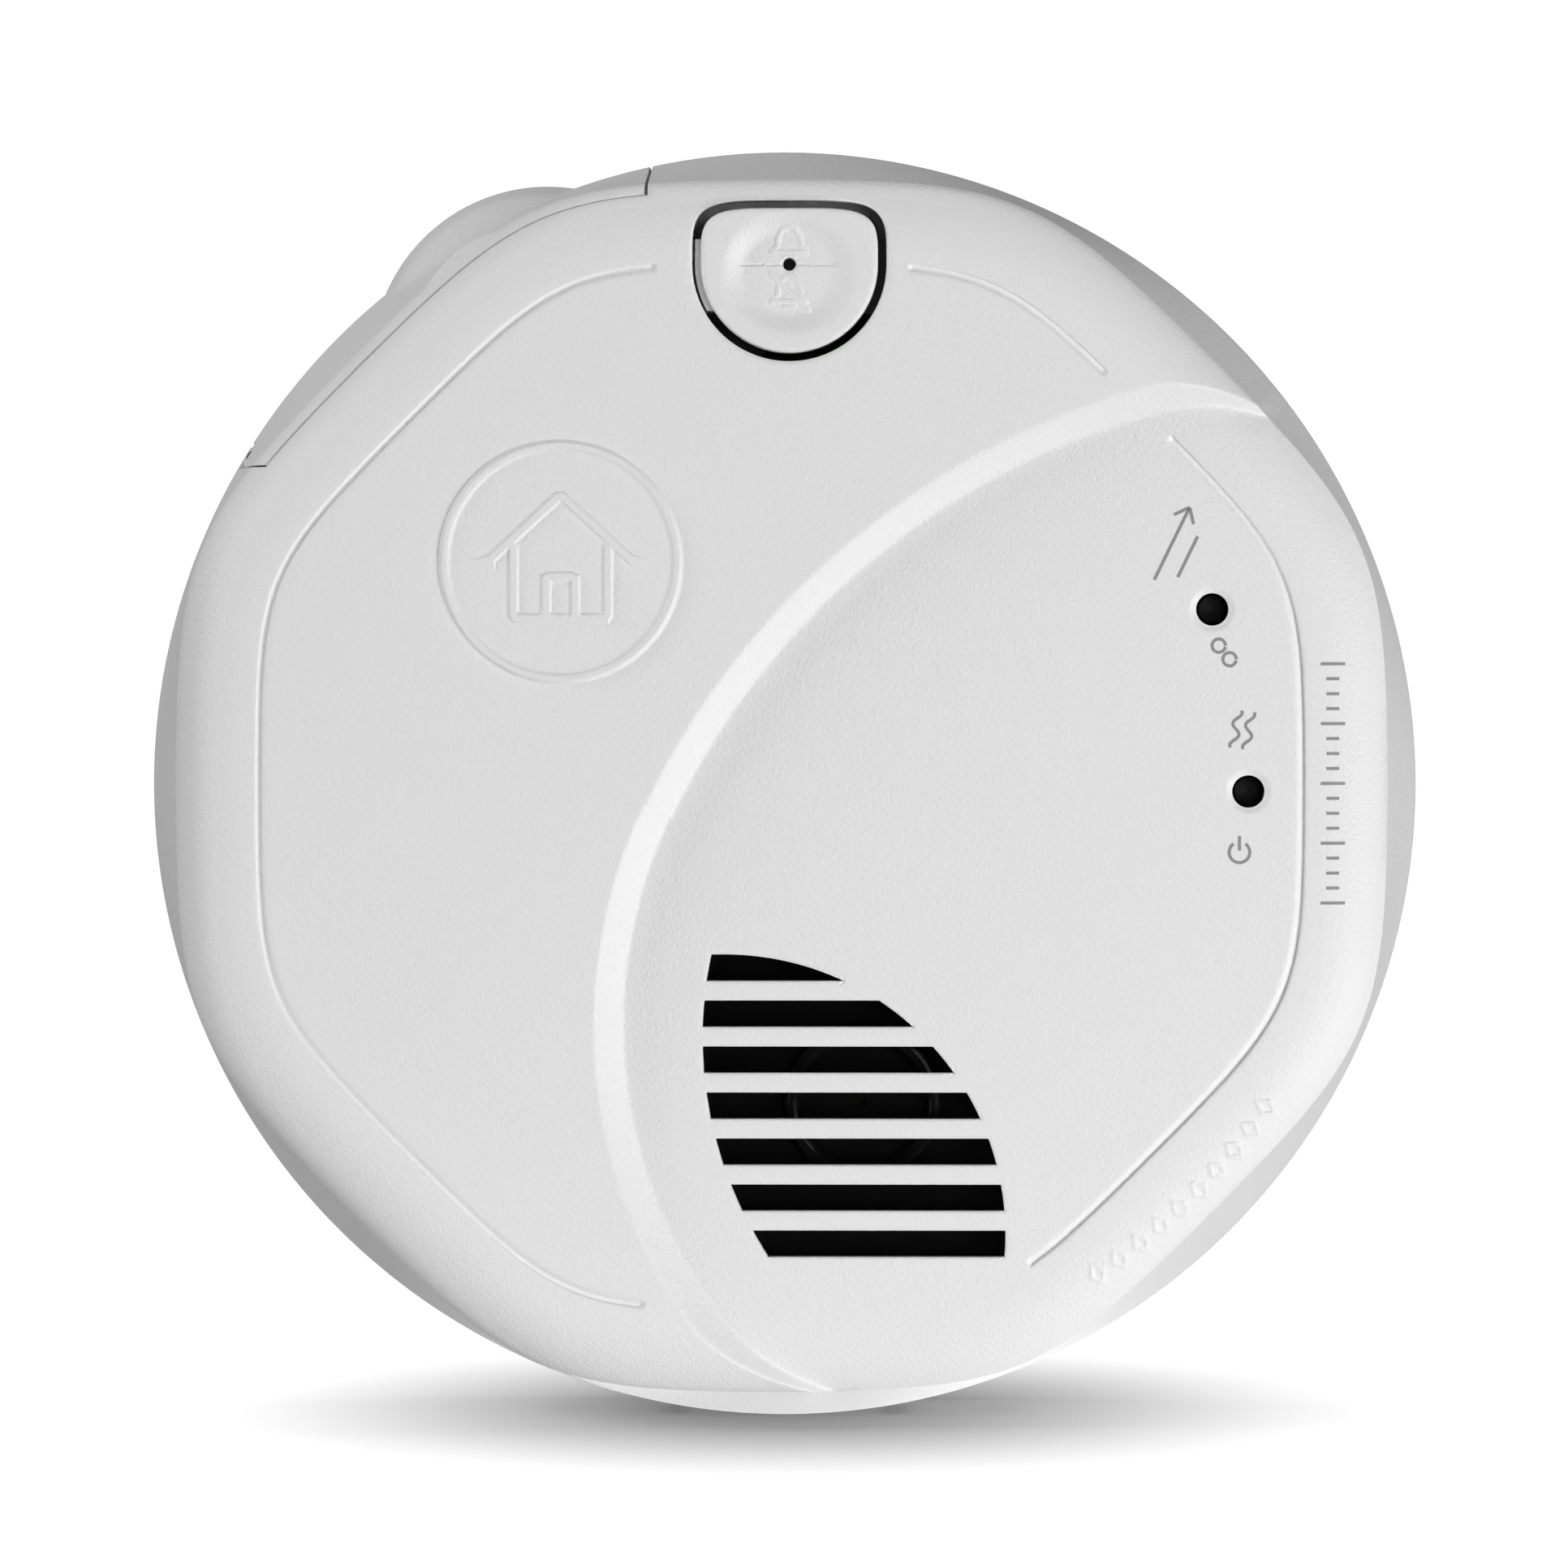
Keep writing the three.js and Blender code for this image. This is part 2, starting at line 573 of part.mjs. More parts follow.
// ---------------------------------------------------------------- mounting bracket
// A curved screw slot with a round end that the screw head passes through.
function screwSlot(angle) {
  const z = [-OVERSHOOT, BRACKET_THICKNESS + OVERSHOOT];
  const track = ringSector(SCREW_SLOT_RADIUS - 2.25, SCREW_SLOT_RADIUS + 2.25, angle - 11, angle + 11, ...z);
  const mouth = polar(SCREW_SLOT_RADIUS, angle - 11);
  return track.add(post(mouth.x, mouth.y, 4.4, ...z, 24));
}

function bracketHook(angle) {
  const span = [angle - HOOK_HALF_ANGLE, angle + HOOK_HALF_ANGLE];
  const inner = HOOK_RADIUS - HOOK_POST / 2;
  const stem = ringSector(inner, inner + HOOK_POST, ...span, 0, HOOK_TOP);
  const lip = ringSector(inner, inner + HOOK_LIP, ...span, HOUSING_Z[1] + GAP, HOOK_TOP);
  return stem.add(lip);
}

function mountingBracket() {
  const plate = post(0, 0, BRACKET_RADIUS, 0, BRACKET_THICKNESS, AROUND);
  const opening = post(0, 0, BRACKET_HOLE_RADIUS, -OVERSHOOT, BRACKET_THICKNESS + OVERSHOOT, 32);
  const slots = [0, 90, 180, 270].map(screwSlot);
  return joined([without(plate, [opening, ...slots]), ...HOOK_ANGLES.map(bracketHook)]);
}

// ---------------------------------------------------------------- electronics
function circuitBoard() {
  const board = post(0, 0, BOARD_RADIUS, ...BOARD_Z, 48);
  return board.subtract(bayBlock([40.2, 90], [-60, 29.6], 0, FACE_Z));
}

function chamberBase() {
  const { x, y, radius } = CHAMBER;
  return turned([[0, ON_BOARD], [radius, ON_BOARD], [radius, ON_BOARD + 2.4], [0, ON_BOARD + 2.4]], x, y);
}

function chamberCap() {
  const { x, y, radius } = CHAMBER;
  const bottom = ON_BOARD + 2.7;
  const outer = radius - 1.6;
  const profile = [
    [outer - 1.4, bottom],
    [outer, bottom],
    [outer, 34],
    [outer - 3, 37],
    [0, 37],
    [0, 35.6],
    [outer - 3.6, 35.6],
    [outer - 1.4, 33.4],
    [outer - 1.4, bottom],
  ];
  return turned(profile, x, y);
}

function insectScreen() {
  const { x, y, radius } = CHAMBER;
  const [inner, outer] = [radius - 1.2, radius - 0.6];
  const [bottom, top] = [ON_BOARD + 2.7, 32];
  return turned([[inner, bottom], [outer, bottom], [outer, top], [inner, top], [inner, bottom]], x, y);
}

// A round-topped lamp or sensor body with a rim at its foot.
function lampBody(x, y, bottom, height) {
  const top = bottom + height;
  const profile = [
    [0, bottom],
    [1.9, bottom],
    [1.9, bottom + 0.9],
    [1.5, bottom + 0.9],
    [1.5, top - 1.2],
    [0.95, top - 0.35],
    [0, top],
  ];
  return turned(profile, x, y, 12);
}

function lightPipe({ x, y }) {
  const bottom = ON_BOARD + 5.3;
  const top = FACE_Z - STEP_DROP - WALL - 0.6;
  const profile = [
    [0, bottom],
    [2.4, bottom],
    [2.4, bottom + 1.2],
    [1.5, bottom + 1.2],
    [1.5, top - 0.5],
    [0, top],
  ];
  return turned(profile, x, y, 12);
}

function coSensorCell() {
  const bottom = ON_BOARD;
  const profile = [
    [0, bottom],
    [9.4, bottom],
    [10, bottom + 0.8],
    [10, bottom + 13.6],
    [9.2, bottom + 14.4],
    [7.4, bottom + 14.4],
    [7.4, bottom + 15.4],
    [6.8, bottom + 16],
    [1.6, bottom + 16],
    [1.6, bottom + 15],
    [0, bottom + 15],
  ];
  return turned(profile, 27, 20);
}

// The horn is a black cup that stands on the board, with a wide plate and a ring round its mouth.
function hornBody() {
  const profile = [
    [1.2, 38.6],
    [15, 37.4],
    [15, ON_BOARD],
    [17, ON_BOARD],
    [17, 37.6],
    [25.5, 38.6],
    [25.5, 39.6],
    [8.9, 39.8],
    [8.6, 41.1],
    [7.2, 41.1],
    [6.6, 39.8],
    [1.2, 39.8],
    [1.2, 38.6],
  ];
  return turned(profile, HORN.x, HORN.y, 30);
}

function piezoDisc() {
  const profile = [[0, 34], [13.5, 34], [13.5, 34.5], [10, 34.5], [10, 34.8], [0, 34.8]];
  return turned(profile, HORN.x, HORN.y);
}

function hornContact(turn) {
  const { x, y } = polar(8, turn).add(new THREE.Vector2(HORN.x, HORN.y));
  return turned([[0, ON_BOARD], [1.4, ON_BOARD], [1.4, 24], [0.6, 24.6], [0.6, 33.4], [0, 33.7]], x, y, 12);
}

function can(x, y, radius, height) {
  const top = ON_BOARD + height;
  const profile = [
    [0, ON_BOARD],
    [radius, ON_BOARD],
    [radius, ON_BOARD + 1.2],
    [radius - 0.35, ON_BOARD + 1.6],
    [radius, ON_BOARD + 2],
    [radius, top - 0.4],
    [radius - 0.5, top],
    [0, top],
  ];
  return turned(profile, x, y, 14);
}

function hornCoil() {
  const top = ON_BOARD + 9;
  const profile = [
    [0, ON_BOARD],
    [4.6, ON_BOARD],
    [4.6, ON_BOARD + 1],
    [3.9, ON_BOARD + 1.3],
    [3.9, top - 1.3],
    [4.6, top - 1],
    [4.6, top],
    [0, top],
  ];
  return turned(profile, -3, 12, 14);
}

function varistor() {
  const geometry = new THREE.CylinderGeometry(5, 5, 3.6, 24);
  return solid(geometry.translate(-14, 22, ON_BOARD + 6));
}

// ---------------------------------------------------------------- assembly
const whitePlastic = material(0xdcdcda, 0.62);
const backPlastic = material(0xd2d2cf, 0.6);
const blackPlastic = material(0x101010, 0.5);
const darkPlastic = material(0x2a2b2d, 0.55);
const boardGreen = material(0x1f5a35, 0.5);
const steel = material(0xb9bcc0, 0.35, 0.9);
const brass = material(0xc8a24c, 0.35, 0.9);
const mesh = material(0x8f9296, 0.45, 0.8);
const clearGreen = material(0x8fd6a0, 0.15);
const clearRed = material(0xd96a5c, 0.15);
const clearPipe = material(0xdfe6e8, 0.12);
const beigeCase = material(0xc9b27c, 0.6);
const blueSleeve = material(0x22395e, 0.4);
const batteryJacket = material(0x3c4046, 0.42, 0.3);

const alarm = new THREE.Group();

function add(name, manifold, surface) {
  const piece = new THREE.Mesh(geometryOf(manifold), surface.clone());
  piece.name = name;
  alarm.add(piece);
}

add('mounting_bracket', mountingBracket(), backPlastic);
add('rear_housing', rearHousing(), backPlastic);
add('front_cover', frontCover(), whitePlastic);
add('battery_drawer', batteryDrawer(), whitePlastic);
add('drawer_hinge_pin', post(HINGE.x, HINGE.y, HINGE.pin, DRAWER_BOTTOM + 1.2, HINGE.top - 0.2, 12), steel);
add('battery_jacket', battery(), batteryJacket);
add('battery_terminal_positive', batteryStud(2.9, 6.35), steel);
add('battery_terminal_negative', batteryStud(4, -6.35), steel);
add('battery_contact_positive', batteryContact(6.35), steel);
add('battery_contact_negative', batteryContact(-6.35), steel);

add('test_button', testButton(), whitePlastic);
const pinReach = EAR_WIDTH - GAP;
const pinEnds = [BUTTON_ARM.y0 - pinReach, BUTTON_ARM.y1 + pinReach];
const pivotPin = rod(BUTTON_PIVOT.x, BUTTON_PIVOT.z, BUTTON_PIN_RADIUS, ...pinEnds);
add('button_pivot_pin', pivotPin, steel);
add('test_switch_body', switchBody(), blackPlastic);
add('switch_plunger', post(BUTTON_X, SWITCH_Y, 1.75, ON_BOARD + 3.2, ON_BOARD + 5.1), darkPlastic);

add('circuit_board', circuitBoard(), boardGreen);
add('smoke_chamber_base', chamberBase(), blackPlastic);
add('smoke_chamber_cap', chamberCap(), blackPlastic);
add('insect_screen', insectScreen(), mesh);
add('infrared_emitter', lampBody(CHAMBER.x - 8, CHAMBER.y, ON_BOARD + 2.7, 5), clearPipe);
add('photodiode', lampBody(CHAMBER.x + 6, CHAMBER.y + 6, ON_BOARD + 2.7, 5), darkPlastic);
add('co_sensor_cell', coSensorCell(), steel);
add('horn_body', hornBody(), blackPlastic);
add('piezo_disc', piezoDisc(), brass);
[90, 210, 330].forEach((turn, i) => add(`horn_contact_${i + 1}`, hornContact(turn), steel));
add('power_led', lampBody(POWER_LIGHT.x, POWER_LIGHT.y, ON_BOARD, 5), clearGreen);
add('co_led', lampBody(CO_LIGHT.x, CO_LIGHT.y, ON_BOARD, 5), clearRed);
add('power_light_pipe', lightPipe(POWER_LIGHT), clearPipe);
add('co_light_pipe', lightPipe(CO_LIGHT), clearPipe);
add('microcontroller', cuboid(4, 14, -4, 6, ON_BOARD, ON_BOARD + 1.6), darkPlastic);
add('film_capacitor', cuboid(-6, 12, 26, 33, ON_BOARD, ON_BOARD + 13), beigeCase);
add('electrolytic_capacitor_1', can(18, 38, 4, 12), blueSleeve);
add('electrolytic_capacitor_2', can(30, 37, 4, 12), blueSleeve);
add('varistor', varistor(), material(0x9a6a2f, 0.5));
add('horn_coil', hornCoil(), darkPlastic);
[-1, 0, 1].forEach((place, i) => add(`inlet_pin_${i + 1}`, inletPinSolid(place), brass));
SCREW_ANGLES.forEach((angle, i) => add(`housing_screw_${i + 1}`, housingScrew(angle), steel));

alarm.rotation.x = Math.PI / 2;

export default alarm;
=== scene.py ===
"""Looks of a combined smoke and carbon monoxide alarm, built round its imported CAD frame.

Shapes are worked out in a plan frame, in millimetres, as a person in front of the alarm sees it:
x to the right, y up and z out of the wall. place() turns them into the row frame, in metres.
"""
import json
import math

import bpy
import numpy as np
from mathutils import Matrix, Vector
from mathutils.geometry import delaunay_2d_cdt
from mathutils.kdtree import KDTree

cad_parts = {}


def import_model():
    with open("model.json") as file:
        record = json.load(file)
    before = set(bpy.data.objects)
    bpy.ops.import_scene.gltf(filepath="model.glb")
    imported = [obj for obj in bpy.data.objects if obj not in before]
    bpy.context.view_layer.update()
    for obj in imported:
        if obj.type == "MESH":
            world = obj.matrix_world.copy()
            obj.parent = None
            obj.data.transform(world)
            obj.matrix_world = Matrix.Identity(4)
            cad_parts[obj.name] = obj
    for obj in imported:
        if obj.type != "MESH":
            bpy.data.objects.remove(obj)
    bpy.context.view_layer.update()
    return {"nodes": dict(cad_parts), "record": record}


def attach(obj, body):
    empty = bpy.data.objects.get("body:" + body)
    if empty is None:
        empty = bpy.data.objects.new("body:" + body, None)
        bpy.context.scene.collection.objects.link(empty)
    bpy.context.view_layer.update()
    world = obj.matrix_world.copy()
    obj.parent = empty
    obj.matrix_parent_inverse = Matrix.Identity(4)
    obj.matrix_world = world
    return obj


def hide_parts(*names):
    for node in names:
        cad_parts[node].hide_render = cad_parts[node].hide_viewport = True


# ---------------------------------------------------------------- driving dimensions (mm, degrees)
SKIRT_RADIUS = 71.0
SKIRT_BOTTOM = 4.0
SKIRT_TOP = 25.0
SHOULDER_APOTHEM = 68.3
SHOULDER_WIDTH = 9.0
SHOULDER_Z = 37.5
SHOULDER_SHARPNESS = 15  # exponent of the octagon: larger is a sharper corner
FACE_APOTHEM = SHOULDER_APOTHEM - SHOULDER_WIDTH
FACE_Z = 47.0
FACE_CROWN = 0.35  # the face falls this much from its middle to the shoulder
WALL = 2.2
CREST_TURN = 30  # the shoulder's rounding ends in a crisp crest at this turn, above a straight flare

# Step between the two levels of the face: a conical bevel along two arcs.
STEP_DROP = 3.0
STEP_SLOPE = 1.07
STEP_SOFTNESS = 0.4
BEVEL_UPPER = {"centre": (63.0, -39.1), "radius": 86.1, "span": (60.0, 154.7)}
BEVEL_LOWER = {"centre": (36.0, -26.3), "radius": 56.4, "span": (154.7, 285.0)}

# Fine line round the face, in three spans.
GROOVE_APOTHEM = 57.5
GROOVE_SHARPNESS = 17
GROOVE_INNER = (-0.6, 0.1)  # its gentle side, as steps in apothem from its middle
GROOVE_OUTER = (0.25, 0.55)  # its steep side
GROOVE_DEPTH = 0.46
GROOVE_SPANS = [(51.7, 76.3), (103.3, 255.4), (297.3, 402.1)]

# Sound grille.
SLOT_COUNT = 7
SLOT_HEIGHT = 2.96
SLOT_PITCH = 5.09
FIRST_SLOT_Y = -19.98
LEAF_RIGHT = (-6.2, -49.5, 31.0)
LEAF_LEFT = (35.4, -27.75, 44.1)

# Test button.
BUTTON = {"x": 0.95, "y": 57.6, "half": 9.75, "rise": 6.15, "squareness": 4.5, "z": (40.8, 46.8)}
BUTTON_ROWS = (45.5, 44, 42.5)  # heights of the rows of points down its side
BUTTON_GAP = 0.95  # all round it, in the cover
PINHOLE = 0.72
DISH = {"x": 0.8, "y": 56.6, "half_width": 7.4, "half_height": 6.8, "depth": 1.05}
PIVOT = {"x": -15.5, "z": 41.4, "radius": 1.7, "bore": 1.1}
ARM = {"x": (PIVOT["x"], BUTTON["x"] - 5), "y": (52.4, 60.4), "z": (40.5, 42.3)}
HEEL = {"gap": 0.3, "top": 45.3}  # rise of the arm in the gap on the button's left
STEM = {"y": 50.6, "radius": 1.6, "bottom": 25.3}
LEDGE = {"reach": (0.35, 2.3), "z": (36.4, 38.0)}  # of the cover, behind the gap above the button
RULE = {"half_length": 5.6, "half_width": 0.22, "depth": 0.22}  # line across the button
SIGN_WIDTH = 0.68
SIGN_HEIGHT = 0.16
SIGN_LEVELS = (60.2, 54.8)
CROSS_LEVEL = 54.6

# Indicator lights.
LIGHTS = [(51.6, -0.5), (47.6, 19.6)]
LIGHT_HOLE = 1.8
LIGHT_SINK = 2.55

# Battery drawer and its opening in the cover.
PARTING_APOTHEM = 65.8
WINDOW = {"apothem": PARTING_APOTHEM, "right": -14.75, "bottom": 35.35}
DRAWER = {"apothem": PARTING_APOTHEM + 0.06, "right": -15.1, "bottom": 35.55, "z": 4.3}
HINGE = {"x": -59.6, "y": 36.7, "knuckle": 1.2, "bore": 0.75, "pin_end": 5.3, "top": 29.0}
LUGS = [(8.0, 12.5), (23.0, 27.5)]
LUG_ROOT = 68.9
LUG_ROOM = {"gap": 0.3, "round": 0.45, "radii": (68.3, 80)}  # for each lug, in the drawer
TAB = {"angle": 119.4, "centre": 54.5}
TAB_PROFILE = [(4.0, 14.6), (8, 15.5), (11, 18.2), (15, 19.9), (22, 19.9), (28, 18.6), (34, 14.8)]
BAY_ANGLE = 127
TRAY = {"inner": 43.1, "wall": 1.2, "floor": (6.5, 8.1), "top": 20.0, "span": (-25.2, 20.6)}
TRAY_REACH = {"floor": 66.6, "end": 64}  # how far out the tray's floor and end wall go

# Small features of the cover.
MEDALLION = {"x": -24.2, "y": 24.8, "radius": 13.5, "rim": 1.1, "field": 0.2, "height": 0.5}
HOUSE_LINE = {"half_width": 0.62, "height": 0.3}
LOZENGES = {"radius": 64.2, "angles": (-57.0, -33.5), "count": 10}
LOZENGE = {"along": 0.95, "across": 1.35, "height": 0.16}
VENT_WIDTH = 2.6
VENT_REACH = (66, 76)  # from inside the skirt to outside it
VENT_Z = (10.5, 22.5)
VENT_ANGLES = range(160, 451, 10)
SCREW_ANGLES = [60, 200, 320]
SCREW_CIRCLE = 60.0
BOSS = {"radius": 3.2, "bottom": 8.3, "bore": 1.7, "bore_z": (4, 20)}
HORN = (9.0, -35.0)
EDGE_RADIUS = 0.35  # rounding of moulded edges

# Printed signs.
ARROW = {"x": 43.2, "y": 27.0, "turn": 64}
RINGS = [(48.3, 15.6), (49.5, 14.1)]
WAVES = [(50.2, 6.4), (51.6, 6.2)]
ON_SIGN = {"x": 50.6, "y": -7.2, "radius": 1.15, "stem": (-7.0, -5.4)}
TICKS = {"x": 60.9, "top": 13.6, "pitch": 1.65, "count": 17}
PRINT_WIDTH = 0.34
PRINT_RISE = 0.03

# Sizes of cutters and meshes.
FACE_CUT = (36, 50)  # heights that pass through the face
WHOLE_CUT = (-1, 60)  # heights that pass through the whole cover
FAR = 85  # beyond the alarm's edge
SHOULDER_TURNS = (34, 38, 43, 50, 57, 64, 72, 80, 88)
SKIRT_LEVELS = (25, 23, 21, 19, 17, 15, 13, 11, 9, 7, 5.5, 4.5, 4.15, 4)
COLUMNS = 1080  # points round the outside of a fine piece


# ---------------------------------------------------------------- plan geometry
def polar(radius, degrees):
    """Points at a radius, or direction vectors when the radius is 1."""
    turn = np.radians(degrees)
    return np.stack([radius * np.cos(turn), radius * np.sin(turn)], axis=-1)


def octagon(x, y, sharpness):
    """Distance from the middle on a scale where a soft-cornered octagon has one value all round."""
    total = np.zeros_like(np.asarray(x, float))
    for side in range(8):
        facing = x * math.cos(side * math.pi / 4) + y * math.sin(side * math.pi / 4)
        total = total + np.maximum(facing, 0.0) ** sharpness
    return total ** (1.0 / sharpness)


def on_octagon(apothem, degrees, sharpness=SHOULDER_SHARPNESS):
    """Points of the soft-cornered octagon at the given bearings."""
    directions = polar(1.0, np.asarray(degrees, float))
    return directions * (apothem / octagon(directions[:, 0], directions[:, 1], sharpness))[:, None]


def resample(path, spacing, closed=False):
    """Points evenly spaced along a polyline."""
    path = np.asarray(path, float)
    if closed:
        path = np.vstack([path, path[:1]])
    travelled = np.concatenate([[0], np.cumsum(np.linalg.norm(np.diff(path, axis=0), axis=1))])
    count = max(2, round(travelled[-1] / spacing))
    at = np.linspace(0, travelled[-1], count + 1)
    points = np.stack([np.interp(at, travelled, path[:, k]) for k in (0, 1)], axis=1)
    return points[:-1] if closed else points


def rows_along(path, offsets, spacing, closed=False):
    """Rows of points on both sides of a polyline, at the given offsets."""
    line = resample(path, spacing, closed)
    if closed:
        tangent = np.roll(line, -1, axis=0) - np.roll(line, 1, axis=0)
    else:
        tangent = np.gradient(line, axis=0)
    tangent /= np.linalg.norm(tangent, axis=1)[:, None]
    normal = np.stack([-tangent[:, 1], tangent[:, 0]], axis=1)
    return np.vstack([line + offset * normal for offset in offsets])


def distance_to(path, x, y, closed=False):
    """Shortest distance from plan points to a polyline."""
    path = np.asarray(path, float)
    if closed:
        path = np.vstack([path, path[:1]])
    best = np.full(np.shape(x), 1e9)
    for (x0, y0), (x1, y1) in zip(path[:-1], path[1:]):
        dx, dy = x1 - x0, y1 - y0
        along = np.clip(((x - x0) * dx + (y - y0) * dy) / (dx * dx + dy * dy + 1e-12), 0, 1)
        best = np.minimum(best, np.hypot(x - x0 - along * dx, y - y0 - along * dy))
    return best


def smooth_max(p, q, softness):
    """The larger of two heights, blended over a band of the given softness."""
    share = np.clip(0.5 + 0.5 * (p - q) / softness, 0, 1)
    return q + (p - q) * share + softness * share * (1 - share)


def smooth_step(t):
    """0 below 0 and 1 above 1, with a smooth rise between."""
    t = np.clip(t, 0, 1)
    return t * t * (3 - 2 * t)


def edge_drop(distance, radius):
    """How far a surface falls near an edge with a quarter-round of this radius."""
    inward = np.clip(radius - distance, 0, radius)
    return radius - np.sqrt(radius**2 - inward**2)


def circle(x, y, radius, count):
    """Points round a circle."""
    return polar(radius, np.arange(count) * 360 / count) + (x, y)


# ---------------------------------------------------------------- outlines
def slot_outline(row):
    """A level slot between the leaf's two arcs."""
    top = FIRST_SLOT_Y + SLOT_HEIGHT / 2 - row * SLOT_PITCH
    sides = []
    for (x, y, radius), direction in ((LEAF_RIGHT, 1), (LEAF_LEFT, -1)):
        low, high = (math.asin(min(1, (level - y) / radius)) for level in (top - SLOT_HEIGHT, top))
        turns = np.linspace(low, high, 16)
        sides.append(np.stack([x + direction * radius * np.cos(turns), y + radius * np.sin(turns)], axis=1))
    return np.vstack([sides[0], sides[1][::-1]])


def button_outline(grow):
    """A half circle below, and a squarer half above."""
    turns = np.radians(np.arange(0, 360, 4.0))
    across, up = np.cos(turns), np.sin(turns)
    power = np.where(up > 0, 2 / BUTTON["squareness"], 1)
    height = np.where(up > 0, BUTTON["rise"], BUTTON["half"]) + grow
    x = BUTTON["x"] + (BUTTON["half"] + grow) * np.sign(across) * np.abs(across) ** power
    return np.stack([x, BUTTON["y"] + height * np.sign(up) * np.abs(up) ** power], axis=1)


def parting_path(opening):
    """Octagonal part of the parting line, from the upright end plane to the level one."""
    line = on_octagon(opening["apothem"], np.linspace(95, 160, 900))
    return line[(line[:, 0] < opening["right"]) & (line[:, 1] > opening["bottom"])]


def seam(opening):
    """The whole parting line on the face: an upright end, the octagonal part and a level end."""
    path = resample(parting_path(opening), 0.8)
    right, bottom = opening["right"], opening["bottom"]
    upright = [(right, FAR), (right, path[0][1])]
    level = [(path[-1][0], bottom), (-FAR, bottom)]
    return np.vstack([upright, path[1:-1], level])


def sector_outline(opening, rounded=False):
    """Everything beyond the parting line, on the upper-left side."""
    path = seam(opening)
    if rounded:
        turn = np.linspace(-90, -180, 8)
        corner = polar(HINGE["knuckle"], turn) + (HINGE["x"], HINGE["y"])
        path = np.vstack([path[:-1], corner, [(-FAR, HINGE["y"])]])
    return np.vstack([path, [(-FAR, FAR)]])


# ---------------------------------------------------------------- height of the cover's outside
def bevel_run(x, y):
    """How far a plan point lies on the lower side of the bevel's upper edge."""
    (x1, y1), (x2, y2) = BEVEL_UPPER["centre"], BEVEL_LOWER["centre"]
    side = (x2 - x1) * (y - y1) - (y2 - y1) * (x - x1)
    upper = BEVEL_UPPER["radius"] - np.hypot(x - x1, y - y1)
    lower = BEVEL_LOWER["radius"] - np.hypot(x - x2, y - y2)
    return np.where(side < 0, upper, lower)


def groove_fall(x, y):
    """Depth of the fine line round the face, with its gentle and its steep side."""
    across = octagon(x, y, GROOVE_SHARPNESS) - GROOVE_APOTHEM
    gentle = smooth_step((across - GROOVE_INNER[0]) / (GROOVE_INNER[1] - GROOVE_INNER[0]))
    steep = smooth_step((GROOVE_OUTER[1] - across) / (GROOVE_OUTER[1] - GROOVE_OUTER[0]))
    angle = np.degrees(np.arctan2(y, x))
    reach = np.zeros_like(across)
    for start, end in GROOVE_SPANS:
        turn = (angle - start) % 360
        margin = np.radians(np.minimum(turn, end - start - turn)) * GROOVE_APOTHEM
        reach = np.maximum(reach, smooth_step(margin / 0.5))
    return GROOVE_DEPTH * gentle * steep * reach


def house_lines():
    """A plain house: its roof, walls and door, as polylines inside the medallion."""
    x, y = MEDALLION["x"], MEDALLION["y"]
    lines = [
        [(-7.6, 0.4), (0, 7.4), (7.6, 0.4)],
        [(-5.2, 1.6), (-5.2, -6.2), (5.2, -6.2), (5.2, 1.6)],
        [(-1.6, -6.2), (-1.6, -1.6), (1.6, -1.6), (1.6, -6.2)],
    ]
    return [np.array(line) + (x, y) for line in lines]


def lozenge_centres():
    """Middles of the raised lozenges, on one arc."""
    return polar(LOZENGES["radius"], np.linspace(*LOZENGES["angles"], LOZENGES["count"]))


def relief(x, y):
    """The raised medallion with its rim and house, and the row of lozenge outlines."""
    reach = MEDALLION["radius"] - np.hypot(x - MEDALLION["x"], y - MEDALLION["y"])
    top, field = MEDALLION["height"], MEDALLION["field"]
    rise = top * smooth_step(reach / 0.4)
    rise = rise - (top - field) * smooth_step((reach - MEDALLION["rim"] + 0.2) / 0.4)
    for line in house_lines():
        inside = HOUSE_LINE["half_width"] - distance_to(line, x, y)
        rise = rise + HOUSE_LINE["height"] * smooth_step(inside / 0.3) * (rise < top)
    rise = np.minimum(rise, top)
    for middle in lozenge_centres():
        turn = math.atan2(middle[1], middle[0])
        out = (x - middle[0]) * math.cos(turn) + (y - middle[1]) * math.sin(turn)
        around = (y - middle[1]) * math.cos(turn) - (x - middle[0]) * math.sin(turn)
        size = np.abs(out) / LOZENGE["across"] + np.abs(around) / LOZENGE["along"]
        rise = rise + LOZENGE["height"] * smooth_step((0.36 - np.abs(size - 0.85)) / 0.24)
    return rise


def light_sinks(x, y):
    """Depth of the countersinks round the lamp holes."""
    fall = 0
    for light_x, light_y in LIGHTS:
        reach = LIGHT_SINK - np.hypot(x - light_x, y - light_y)
        fall = fall + 0.4 * smooth_step(reach / (LIGHT_SINK - LIGHT_HOLE))
    return fall


def surface(x, y):
    """Height of the cover's outside: face, shoulder, step, fine line and raised signs."""
    a = octagon(x, y, SHOULDER_SHARPNESS)
    crown = FACE_CROWN * np.minimum(a / FACE_APOTHEM, 1) ** 2
    run = np.clip((a - FACE_APOTHEM) / SHOULDER_WIDTH, 0, 1)
    fall = np.sqrt(1 - run**2)
    high = SHOULDER_Z + (FACE_Z - SHOULDER_Z - crown) * fall
    low = high - STEP_DROP * fall
    cone = FACE_Z - crown - STEP_SLOPE * bevel_run(x, y)
    z = smooth_max(low, -smooth_max(-high, -cone, STEP_SOFTNESS), STEP_SOFTNESS)
    return z - groove_fall(x, y) + relief(x, y) - light_sinks(x, y)


